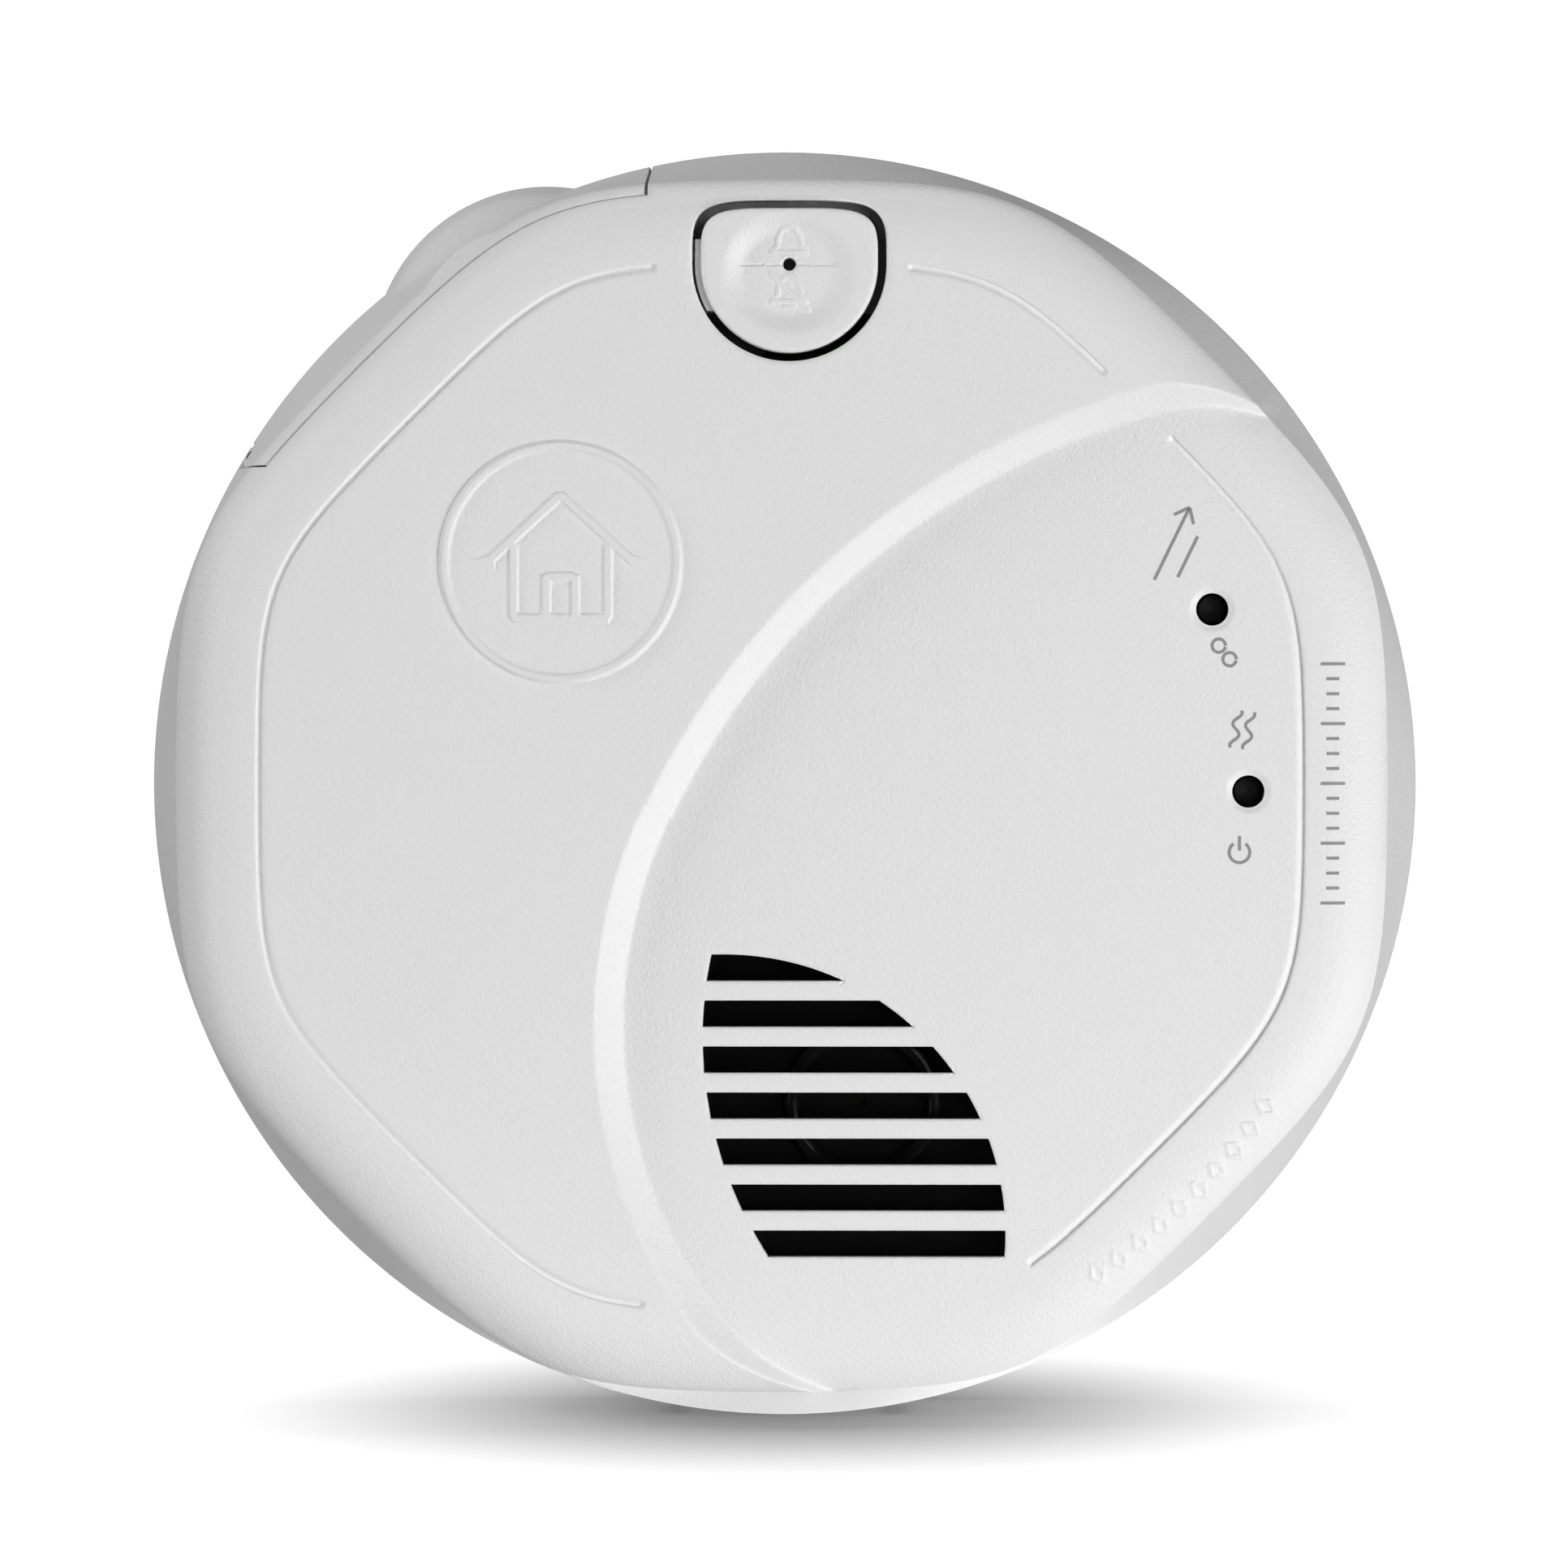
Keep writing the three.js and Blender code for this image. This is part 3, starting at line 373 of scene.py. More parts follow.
# ---------------------------------------------------------------- solids
def closed_solid(ring, inner, height, rings_below):
    """A triangulated top inside a ring of points, then rings of points down to a flat bottom."""
    points = np.vstack([ring, inner])
    flat = [Vector(p) for p in points]
    made = delaunay_2d_cdt(flat, [], [list(range(len(ring)))], 1, 1e-5)
    place_of = {source: i for i, sources in enumerate(made[3]) for source in sources}
    plan = np.array([tuple(p) for p in made[0]])
    vertices = [np.column_stack([plan, height(plan[:, 0], plan[:, 1])])]
    faces = [list(face) for face in made[2]]
    upper = [place_of[i] for i in range(len(ring))]
    total = len(plan)
    for outline, z in rings_below:
        lower = list(range(total, total + len(ring)))
        vertices.append(np.column_stack([outline, np.broadcast_to(z, len(ring))]))
        for i in range(len(ring)):
            k = (i + 1) % len(ring)
            faces.append([upper[i], lower[i], lower[k], upper[k]])
        upper = lower
        total += len(ring)
    faces.append(upper[::-1])
    return np.vstack(vertices), faces


def prism(outline, z0, z1):
    """A plan outline raised from one height to another, with its faces outwards."""
    outline = np.asarray(outline, float)
    count = len(outline)
    vertices = np.vstack([np.column_stack([outline, np.full(count, z)]) for z in (z0, z1)])
    sides = [[i, (i + 1) % count, (i + 1) % count + count, i + count] for i in range(count)]
    area = np.sum(outline[:, 0] * np.roll(outline[:, 1], -1) - np.roll(outline[:, 0], -1) * outline[:, 1])
    faces = sides + [list(range(count))[::-1], list(range(count, 2 * count))]
    return vertices, faces if area > 0 else [face[::-1] for face in faces]


def merged(solids):
    """Several solids as one list of points and faces."""
    vertices, faces, start = [], [], 0
    for points, polygons in solids:
        vertices.append(points)
        faces += [[i + start for i in polygon] for polygon in polygons]
        start += len(points)
    return np.vstack(vertices), faces


def turned(profile, x, y, count=96):
    """A solid of revolution about z, from a closed profile of (radius, z) pairs."""
    rings = [np.column_stack([circle(x, y, radius, count), np.full(count, z)]) for radius, z in profile]
    faces = []
    for j in range(len(profile)):
        a, b = j * count, (j + 1) % len(profile) * count
        for i in range(count):
            k = (i + 1) % count
            faces.append([a + i, a + k, b + k, b + i])
    return np.vstack(rings), faces


def rectangle(x0, x1, y0, y1):
    """Corners of a plan rectangle."""
    return [(x0, y0), (x1, y0), (x1, y1), (x0, y1)]


def bay_rectangle(radial, along):
    """A rectangle square to the battery bay's bearing, from radial and crosswise spans."""
    corners = [(radial[0], along[0]), (radial[1], along[0]), (radial[1], along[1]), (radial[0], along[1])]
    return np.array([polar(r, BAY_ANGLE) + polar(s, BAY_ANGLE - 90) for r, s in corners])


def place(name, solid):
    """Makes a Blender piece of a solid, turned from the plan frame into the row frame."""
    vertices, faces = solid
    rows = np.column_stack([vertices[:, 0], -vertices[:, 2], vertices[:, 1]]) * 0.001
    mesh = bpy.data.meshes.new(name)
    mesh.from_pydata(rows.tolist(), [], faces)
    piece = bpy.data.objects.new(name, mesh)
    bpy.context.scene.collection.objects.link(piece)
    return piece


def combine(piece, operation, solid):
    """Boolean of a piece with a solid, or with another piece that is used up by it."""
    other = solid if isinstance(solid, bpy.types.Object) else place("operand", solid)
    modifier = piece.modifiers.new("combine", "BOOLEAN")
    modifier.operation = operation
    modifier.solver = "MANIFOLD"
    modifier.object = other
    evaluated = piece.evaluated_get(bpy.context.evaluated_depsgraph_get())
    piece.data = bpy.data.meshes.new_from_object(evaluated)
    piece.modifiers.clear()
    bpy.data.objects.remove(other)


def dress(piece, body, material, nodes=(), crease=32):
    """Smooth shading, material and body for a finished piece."""
    piece.data.name = piece.name
    piece.data.materials.clear()
    piece.data.materials.append(material)
    piece.data.shade_smooth()
    piece.data.set_sharp_from_angle(angle=math.radians(crease))
    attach(piece, body)
    if nodes:
        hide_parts(*nodes)


# ---------------------------------------------------------------- outer form
def keep_apart(families):
    """Joins families of points, leaving out those too close to a point of an earlier family."""
    kept = families[0][0]
    for points, clearance in families[1:]:
        tree = KDTree(len(kept))
        for i, (x, y) in enumerate(kept):
            tree.insert((x, y, 0), i)
        tree.balance()
        far = [p for p in points if tree.find((p[0], p[1], 0))[2] > clearance]
        if far:
            kept = np.vstack([kept, far])
    return kept


def shoulder_apothem(turn):
    """Apothem at a turn of the shoulder's rounding: 0 at the skirt, 90 at the face."""
    return SHOULDER_APOTHEM - SHOULDER_WIDTH * (1 - math.cos(math.radians(turn)))


def bevel_limits(x, y):
    """Runs at which the bevel's slope meets the high level and the low level, near a plan point."""
    run = np.clip((octagon(x, y, SHOULDER_SHARPNESS) - FACE_APOTHEM) / SHOULDER_WIDTH, 0, 1)
    fall = np.sqrt(1 - run**2)
    upper = (FACE_Z - SHOULDER_Z) * (1 - fall) / STEP_SLOPE
    return upper, upper + STEP_DROP * fall / STEP_SLOPE


def bevel_rows():
    """Rows of points that follow both edges of the bevel, also where they bend over the shoulder."""
    rows = []
    runs = np.linspace(-3, 9, 241)
    steps = (-1.1, -0.6, -0.38, -0.2, -0.04, 0.12, 0.3, 0.5, 0.9)
    for arc in (BEVEL_UPPER, BEVEL_LOWER):
        start, end = arc["span"]
        count = int(math.radians(end - start) * arc["radius"] / 0.4)
        for angle in np.linspace(start, end, count):
            outward = polar(1.0, angle)
            line = outward * (arc["radius"] - runs)[:, None] + arc["centre"]
            for limit in bevel_limits(*line.T):
                at = np.interp(steps, runs - limit, runs)
                rows.append(outward * (arc["radius"] - at)[:, None] + arc["centre"])
    return np.vstack(rows)


def groove_rows():
    """Rows of points along the fine line and across its ends."""
    rows = []
    for start, end in GROOVE_SPANS:
        ends = np.array([-0.5, -0.25, 0.0, 0.25, 0.5])
        angles = np.concatenate([np.arange(start + 0.9, end - 0.6, 0.72), start + ends, end + ends])
        for step in (-1.0, -0.62, -0.46, -0.3, -0.14, 0.02, 0.2, 0.3, 0.4, 0.5, 0.62, 1.0):
            rows.append(on_octagon(GROOVE_APOTHEM + step, angles, GROOVE_SHARPNESS))
    return np.vstack(rows)


def relief_rows():
    """Points along the medallion's rim, the house and the countersinks."""
    x, y = MEDALLION["x"], MEDALLION["y"]
    inner = MEDALLION["radius"] - MEDALLION["rim"]
    steps = [MEDALLION["radius"] - step for step in (-0.4, -0.02, 0.12, 0.26, 0.42)]
    steps += [inner - step for step in (-0.22, -0.08, 0.08, 0.22, 0.6)]
    rows = [circle(x, y, radius, 120) for radius in steps]
    for line in house_lines():
        rows.append(rows_along(line, (-0.85, -0.62, -0.47, -0.32, 0.32, 0.47, 0.62, 0.85), 0.5))
    for light_x, light_y in LIGHTS:
        rows += [circle(light_x, light_y, radius, 40) for radius in (1.6, 1.9, 2.1, 2.3, 2.5, 2.7)]
    return np.vstack(rows)


def fine_patches():
    """Close points where the bevel runs out over the shoulder, and on the lozenges."""
    points = hex_fill(0.26)
    x, y = points.T
    outside = octagon(x, y, SHOULDER_SHARPNESS) > 60.2
    run = bevel_run(x, y)
    keep = outside & (run > -1.3) & (run < 7.5)
    for middle in lozenge_centres():
        keep |= np.hypot(x - middle[0], y - middle[1]) < 1.9
    return points[keep]


def hex_fill(spacing):
    """A triangular grid of points over the whole plan."""
    reach = np.arange(-72, 72, spacing)
    x, y = np.meshgrid(reach, reach * math.sqrt(0.75))
    x = x + (np.arange(len(reach)) % 2)[:, None] * spacing / 2
    return np.column_stack([x.ravel(), y.ravel()])


def tab_radius(degrees, z):
    """Radius of the finger tab's front at a height, well inside the skirt away from the tab."""
    turn = np.radians(degrees - TAB["angle"])
    heights, radii = zip(*TAB_PROFILE)
    radius = np.interp(z, heights, radii)
    chord = radius**2 - (TAB["centre"] * np.sin(turn)) ** 2
    return np.where(chord > 0, TAB["centre"] * np.cos(turn) + np.sqrt(np.maximum(chord, 0)), 60.0)


def skirt_rings(ring, crest, tab):
    """Rings from the shoulder's crest down the flare and the skirt, as (outline, height)."""
    degrees = np.arange(len(ring)) * 360 / len(ring)
    levels = [crest + (SKIRT_TOP - crest) * share for share in np.arange(0.02, 1.01, 0.07)]
    levels += [np.full(len(ring), z) for z in SKIRT_LEVELS]
    start = np.linalg.norm(ring, axis=1)
    rings = []
    for z in levels:
        share = np.clip((crest - z) / (crest - SKIRT_TOP), 0, 1)
        radius = start + (SKIRT_RADIUS - start) * share - edge_drop(z - SKIRT_BOTTOM, 0.5)
        if tab:
            radius = smooth_max(radius, tab_radius(degrees, z), 0.3)
        rings.append((polar(1.0, degrees) * radius[:, None], z))
    return rings


def outer_form(edges, details, columns, spacing, tab=False):
    """The cover's whole outside as one closed solid. Each edge is (path, closed, rounding)."""
    degrees = np.arange(columns) * 360 / columns
    ring = on_octagon(shoulder_apothem(CREST_TURN), degrees)
    families = [(ring, 0)]
    for path, closed, radius in edges:
        offsets = [side * share * radius for share in (0.1, 0.45, 1.0, 2.4) for side in (-1, 1)]
        families.append((rows_along(path, offsets, 0.7, closed), 0.1))
    families += details
    for turn in SHOULDER_TURNS:
        families.append((on_octagon(shoulder_apothem(turn), degrees[::2]), 0.45))
    families.append((hex_fill(spacing), spacing * 0.55))
    points = keep_apart(families)[columns:]
    limit = shoulder_apothem(CREST_TURN) - 0.12
    points = points[octagon(points[:, 0], points[:, 1], SHOULDER_SHARPNESS) < limit]

    def height(x, y):
        z = surface(x, y)
        for path, closed, radius in edges:
            z = z - edge_drop(distance_to(path, x, y, closed), radius)
        return z

    crest = height(ring[:, 0], ring[:, 1])
    return closed_solid(ring, points, height, skirt_rings(ring, crest, tab))


def skin():
    """A light copy of the outside, to trim hinge parts flush with it."""
    return outer_form([], [], 240, 5.0)


def inner_form():
    """The hollow of the cover, in from its outside by the wall on the sides and the front."""
    vertices, faces = outer_form([], [(bevel_rows()[::2], 0.5)], 180, 3.0)
    scale = 1 - WALL / SKIRT_RADIUS
    return vertices * (scale, scale, 1) - (0, 0, WALL), faces


def hinge_block(inner, outer, z0, z1):
    """A curved block beside the hinge, on the cover's side of it."""
    angle = math.degrees(math.atan2(HINGE["y"], HINGE["x"]))
    turn = np.linspace(angle, angle + 4, 6)
    return prism(np.vstack([polar(outer, turn), polar(inner, turn[::-1])]), z0, z1)


def post(x, y, radius, z0, z1, count=48):
    """A round post or the cutter for a round hole."""
    return prism(circle(x, y, radius, count), z0, z1)


def hinge_post(radius, z0, z1, count=32):
    """A post about the hinge's axis."""
    return post(HINGE["x"], HINGE["y"], radius, z0, z1, count)


def vent(angle):
    """A cutter for one upright slot through the skirt."""
    inner, outer = VENT_REACH
    half = VENT_WIDTH / 2
    corners = [(inner, -half), (outer, -half), (outer, half), (inner, half)]
    outline = [polar(r, angle) + polar(s, angle + 90) for r, s in corners]
    return prism(outline, *VENT_Z)


def openings(slots, hole):
    """Cutters for the grille, the button, the lamps, the drawer and the vents."""
    cutters = [prism(outline, *FACE_CUT) for outline in [*slots, hole]]
    cutters += [post(x, y, LIGHT_HOLE, *FACE_CUT) for x, y in LIGHTS]
    cutters.append(prism(sector_outline(WINDOW), *WHOLE_CUT))
    cutters += [vent(angle) for angle in VENT_ANGLES]
    return merged(cutters)


def hinge_lug(z0, z1):
    """One of the cover's two parts of the hinge, trimmed flush with its outside."""
    lug = place("lug", hinge_block(LUG_ROOT, SKIRT_RADIUS, z0, z1))
    combine(lug, "UNION", hinge_post(HINGE["knuckle"], z0, z1))
    combine(lug, "INTERSECT", skin())
    return lug


def ledge():
    """A thin shelf behind the gap above the button."""
    inner, outer = (button_outline(reach) for reach in LEDGE["reach"])
    inner, outer = (line[line[:, 1] > ARM["y"][1] + 0.1] for line in (inner, outer))
    return prism(np.vstack([outer, inner[::-1]]), *LEDGE["z"])


def add_bosses(cover):
    """Adds the screw bosses and the blocks of the button's pivot, then bores the bosses and the hinge."""
    bosses, bores = [], [hinge_post(HINGE["bore"], HINGE["pin_end"], HINGE["top"], 24)]
    for angle in SCREW_ANGLES:
        x, y = polar(SCREW_CIRCLE, angle)
        bosses.append(post(x, y, BOSS["radius"], BOSS["bottom"], float(surface(x, y)) - 1))
        bores.append(post(x, y, BOSS["bore"], *BOSS["bore_z"]))
    for y0, y1 in ((ARM["y"][0] - 3, ARM["y"][0] - 0.3), (ARM["y"][1] + 0.3, ARM["y"][1] + 3)):
        x, radius = PIVOT["x"], PIVOT["radius"]
        top = float(surface(x - radius, y1)) - 1
        bosses.append(prism(rectangle(x - radius, x + radius, y0, y1), PIVOT["z"] - radius, top))
    combine(cover, "UNION", merged(bosses))
    combine(cover, "DIFFERENCE", merged(bores))


def front_cover():
    """The hollow cover with its openings, hinge lugs, screw bosses and button pivot."""
    slots = [slot_outline(row) for row in range(SLOT_COUNT)]
    hole = button_outline(BUTTON_GAP)
    edges = [(slot, True, 0.3) for slot in slots]
    edges += [(hole, True, 0.45), (seam(WINDOW), False, EDGE_RADIUS)]
    details = [(bevel_rows(), 0.12), (fine_patches(), 0.2), (groove_rows(), 0.2), (relief_rows(), 0.15)]
    cover = place("cover_shell", outer_form(edges, details, COLUMNS, 1.8))
    combine(cover, "DIFFERENCE", inner_form())
    combine(cover, "DIFFERENCE", openings(slots, hole))
    for z0, z1 in LUGS:
        combine(cover, "UNION", hinge_lug(z0, z1))
    combine(cover, "UNION", ledge())
    add_bosses(cover)
    return cover


def tray():
    """The battery tray's floor, inner wall and end wall."""
    inner, wall, floor, top, span = (TRAY[key] for key in ("inner", "wall", "floor", "top", "span"))
    back = inner - wall
    return [
        prism(bay_rectangle((back, TRAY_REACH["floor"]), span), *floor),
        prism(bay_rectangle((back, inner), span), floor[0], top),
        prism(bay_rectangle((back, TRAY_REACH["end"]), (span[0], span[0] + wall)), floor[0], top),
    ]


def battery_drawer():
    """The drawer's outer wall with its finger tab, knuckle and battery tray."""
    edges = [(seam(DRAWER), False, EDGE_RADIUS)]
    drawer = place("drawer_shell", outer_form(edges, [], COLUMNS, 3.0, tab=True))
    sector = prism(sector_outline(DRAWER, rounded=True), DRAWER["z"], WHOLE_CUT[1])
    combine(drawer, "INTERSECT", sector)
    knuckle = place("knuckle", hinge_post(HINGE["knuckle"], DRAWER["z"], HINGE["top"]))
    combine(knuckle, "INTERSECT", skin())
    combine(drawer, "UNION", knuckle)
    for wall in tray():
        combine(drawer, "UNION", wall)
    combine(drawer, "DIFFERENCE", hinge_post(HINGE["bore"], HINGE["pin_end"], HINGE["top"], 24))
    for z0, z1 in LUGS:
        room = (z0 - LUG_ROOM["gap"], z1 + LUG_ROOM["gap"])
        combine(drawer, "DIFFERENCE", hinge_post(HINGE["knuckle"] + LUG_ROOM["round"], *room))
        combine(drawer, "DIFFERENCE", hinge_block(*LUG_ROOM["radii"], *room))
    return drawer


def button_signs():
    """Two bells on the button, the lower one crossed out, as polylines."""
    bell = [(-1.9, -1.3), (-1.3, -0.6), (-1.2, 0.4), (-0.75, 1.2), (0.0, 1.5)]
    bell += [(-x, y) for x, y in bell[-2::-1]] + bell[:1]
    strokes = []
    clapper = [(-0.5, -1.9), (0.5, -1.9)]
    for y in SIGN_LEVELS:
        strokes += [np.array(line) + (BUTTON["x"], y) for line in (bell, clapper)]
    strokes.append(np.array([(-2.1, 2.0), (2.1, -2.0)]) + (BUTTON["x"], CROSS_LEVEL))
    return strokes


def button_height(x, y):
    """Height of the button's top, with its dish, line and raised signs."""
    outline = button_outline(0)
    q = np.hypot((x - DISH["x"]) / DISH["half_width"], (y - DISH["y"]) / DISH["half_height"])
    dish = DISH["depth"] * smooth_step((1.04 - q) / 0.42)
    hole = 0.15 * smooth_step((1.0 - np.hypot(x - BUTTON["x"], y - BUTTON["y"])) / 0.25)
    rule = RULE["depth"] * smooth_step((RULE["half_width"] - np.abs(y - BUTTON["y"])) / 0.14)
    rule = rule * (np.abs(x - DISH["x"]) < RULE["half_length"])
    signs = np.min([distance_to(stroke, x, y) for stroke in button_signs()], axis=0)
    rise = SIGN_HEIGHT * smooth_step((SIGN_WIDTH / 2 - signs) / 0.16)
    return BUTTON["z"][1] - dish - hole - rule + rise - edge_drop(distance_to(outline, x, y, True), 0.5)


def within(outline, points):
    """The points that lie inside a closed outline, by counting edges to the right of each."""
    edge = np.vstack([outline, outline[:1]])
    x0, y0, x1, y1 = edge[:-1, 0], edge[:-1, 1], edge[1:, 0], edge[1:, 1]
    slope = (x1 - x0) / np.where(y1 == y0, 1, y1 - y0)
    inside = []
    for x, y in points:
        crosses = (y0 > y) != (y1 > y)
        inside.append(np.count_nonzero(crosses & (x < x0 + (y - y0) * slope)) % 2 == 1)
    return points[np.array(inside)]


def button_points(outline):
    """Points of the button's top, close together where its relief is fine."""
    x, y = BUTTON["x"], BUTTON["y"]
    rows = [(outline, 0), (rows_along(outline, (0.05, 0.15, 0.32, 0.5, 0.8), 0.4, True), 0.04)]
    grid = np.meshgrid(np.arange(-1.6, 3.6, 0.16), np.arange(52.4, 62.6, 0.16))
    patch = np.stack(grid, axis=-1).reshape(-1, 2)
    signs = np.min([distance_to(stroke, *patch.T) for stroke in button_signs()], axis=0)
    rows.append((patch[signs < 0.55], 0.08))
    rows.append((np.vstack([circle(x, y, radius, 28) for radius in (0.5, 0.78, 0.9, 1.04, 1.2)]), 0.1))
    across = np.arange(-RULE["half_length"], RULE["half_length"] + 0.01, 0.4) + DISH["x"]
    for step in (-0.24, -0.1, 0.1, 0.24):
        rows.append((np.column_stack([across, np.full(len(across), y + step)]), 0.1))
    for share in np.arange(0.1, 1.2, 0.045):
        oval = polar(share, np.arange(0, 360, 3.0)) * (DISH["half_width"], DISH["half_height"])
        rows.append((oval + (DISH["x"], DISH["y"]), 0.18))
    rows.append((hex_fill(0.8), 0.5))
    return within(outline, keep_apart(rows)[len(outline):])


def heel_outline():
    """Where the arm fills the gap on the button's left, short of the hole's edge."""
    low, high = ARM["y"]
    right = ARM["x"][1]
    edge = resample(button_outline(BUTTON_GAP - HEEL["gap"]), 0.3, True)
    edge = edge[(edge[:, 0] < BUTTON["x"]) & (edge[:, 1] > low) & (edge[:, 1] < high)]
    return np.vstack([edge, [(right, edge[-1][1]), (right, edge[0][1])]])


def test_button():
    """The button's cap with its arm, the eye of its pivot and the stem to the switch."""
    outline = resample(button_outline(0), 0.35, True)
    x, y = BUTTON["x"], BUTTON["y"]
    bottom = BUTTON["z"][0]
    low, high = ARM["y"]
    levels = [(outline, z) for z in (*BUTTON_ROWS, bottom)]
    button = place("button_cap", closed_solid(outline, button_points(outline), button_height, levels))
    combine(button, "DIFFERENCE", post(x, y, PINHOLE, bottom - 1, FACE_CUT[1], 28))
    combine(button, "UNION", prism(rectangle(*ARM["x"], low, high), *ARM["z"]))
    combine(button, "UNION", prism(heel_outline(), ARM["z"][0], HEEL["top"]))
    eye = circle(PIVOT["x"], PIVOT["z"], PIVOT["radius"], 32)
    combine(button, "UNION", along_y(eye, low, high))
    combine(button, "UNION", post(x, STEM["y"], STEM["radius"], STEM["bottom"], bottom + 1))
    bore = circle(PIVOT["x"], PIVOT["z"], PIVOT["bore"], 24)
    combine(button, "DIFFERENCE", along_y(bore, low - 1, high + 1))
    return button


def along_y(outline, y0, y1):
    """A prism along y, from an outline of (x, z) pairs."""
    vertices, faces = prism(outline, y0, y1)
    return vertices[:, [0, 2, 1]], [face[::-1] for face in faces]


def horn():
    """The horn as (radius, height) points: its sleeve, its flange and the rounded ring on its front."""
    sleeve = [(0.3, 38.6), (15, 37.4), (15, 20.0), (17, 20.0), (17, 37.6)]
    flange = [(25.3, 38.6), (25.5, 38.8), (25.5, 39.5), (25.4, 39.6), (8.95, 39.8)]
    ring = [(8.75, 40.6), (8.5, 41.0), (8.3, 41.1), (7.5, 41.1), (7.25, 41.0), (6.6, 39.9), (6.5, 39.8)]
    mouth = [(0.5, 39.8), (0.3, 39.6)]
    return place("horn_shell", turned(sleeve + flange + ring + mouth, *HORN))


def ribbon(path, width, height, rise, spacing=0.3):
    """A thin closed strip that follows a path over a surface and stands rise above it."""
    line = resample(path, spacing)
    tangent = np.gradient(line, axis=0)
    tangent /= np.linalg.norm(tangent, axis=1)[:, None]
    side = np.stack([-tangent[:, 1], tangent[:, 0]], axis=1) * width / 2
    rows = []
    for offset, lift in ((side, rise), (-side, rise), (-side, -0.12), (side, -0.12)):
        edge = line + offset
        rows.append(np.column_stack([edge, height(edge[:, 0], edge[:, 1]) + lift]))
    vertices = np.stack(rows, axis=1).reshape(-1, 3)
    faces = [[0, 1, 2, 3], [4 * len(line) - 1 - k for k in range(4)]]
    for i in range(len(line) - 1):
        for k in range(4):
            a, b = 4 * i + k, 4 * i + (k + 1) % 4
            faces.append([a, a + 4, b + 4, b])
    return vertices, faces


def arc_path(x, y, radius, start, end):
    """A polyline along part of a circle."""
    return polar(radius, np.linspace(start, end, 24)) + (x, y)


def moved(path, x, y, turn):
    """A polyline turned about its origin, then shifted."""
    c, s = math.cos(math.radians(turn)), math.sin(math.radians(turn))
    path = np.asarray(path, float)
    return np.stack([path[:, 0] * c - path[:, 1] * s + x, path[:, 0] * s + path[:, 1] * c + y], axis=1)


def printed_marks():
    """Grey signs beside the lamps: an arrow, two rings, wavy lines, an on sign and a scale of ticks."""
    wave = [(t, 0.45 * math.sin(t * 2.6)) for t in np.linspace(-2.1, 2.1, 30)]
    arrow = [[(-4.6, 0), (4.2, 0)], [(2.8, 1.2), (4.3, 0), (2.8, -1.2)], [(-3.2, -2.2), (1.8, -2.2)]]
    strokes = [moved(line, ARROW["x"], ARROW["y"], ARROW["turn"]) for line in arrow]
    strokes += [arc_path(x, y, 0.75, 0, 350) for x, y in RINGS]
    strokes += [moved(wave, x, y, 82) for x, y in WAVES]
    strokes.append(arc_path(ON_SIGN["x"], ON_SIGN["y"], ON_SIGN["radius"], 125, 415))
    strokes.append([(ON_SIGN["x"], y) for y in ON_SIGN["stem"]])
    for tick in range(TICKS["count"]):
        reach = 1.35 if tick % 4 == 0 else 0.7
        y = TICKS["top"] - TICKS["pitch"] * tick
        strokes.append([(TICKS["x"] - reach, y), (TICKS["x"] + reach, y)])
    ribbons = [ribbon(path, PRINT_WIDTH, surface, PRINT_RISE) for path in strokes]
    return place("printed_marks", merged(ribbons))


# ---------------------------------------------------------------- materials
DRIFT = (38, 3)  # noise scale and detail of the slow drift in tone and gloss
FINE = (900, 0.00001)  # the grain of glossy mouldings


def noise(nodes, links, place_in, scale, detail):
    """A noise texture in the piece's own space."""
    texture = nodes.new("ShaderNodeTexNoise")
    texture.inputs["Scale"].default_value = scale
    texture.inputs["Detail"].default_value = detail
    links.new(place_in, texture.inputs["Vector"])
    return texture.outputs["Fac"]


def drifting_tone(nodes, links, drift, color, blotch):
    """A colour that drifts a little lighter and darker."""
    tone = nodes.new("ShaderNodeMix")
    tone.data_type = "RGBA"
    tone.inputs["A"].default_value = (*[c * (1 - blotch) for c in color], 1)
    tone.inputs["B"].default_value = (*[min(1, c * (1 + blotch)) for c in color], 1)
    links.new(drift, tone.inputs["Factor"])
    return tone.outputs["Result"]


def drifting_gloss(nodes, links, drift, roughness):
    """A roughness that drifts by a tenth either way."""
    gloss = nodes.new("ShaderNodeMapRange")
    gloss.inputs["To Min"].default_value = roughness * 0.9
    gloss.inputs["To Max"].default_value = min(1, roughness * 1.1)
    links.new(drift, gloss.inputs["Value"])
    return gloss.outputs["Result"]


def grained_normal(nodes, links, place_in, scale, depth):
    """A fine grain in a surface's height."""
    bump = nodes.new("ShaderNodeBump")
    bump.inputs["Distance"].default_value = depth
    bump.inputs["Strength"].default_value = 1
    links.new(noise(nodes, links, place_in, scale, 2), bump.inputs["Height"])
    return bump.outputs["Normal"]


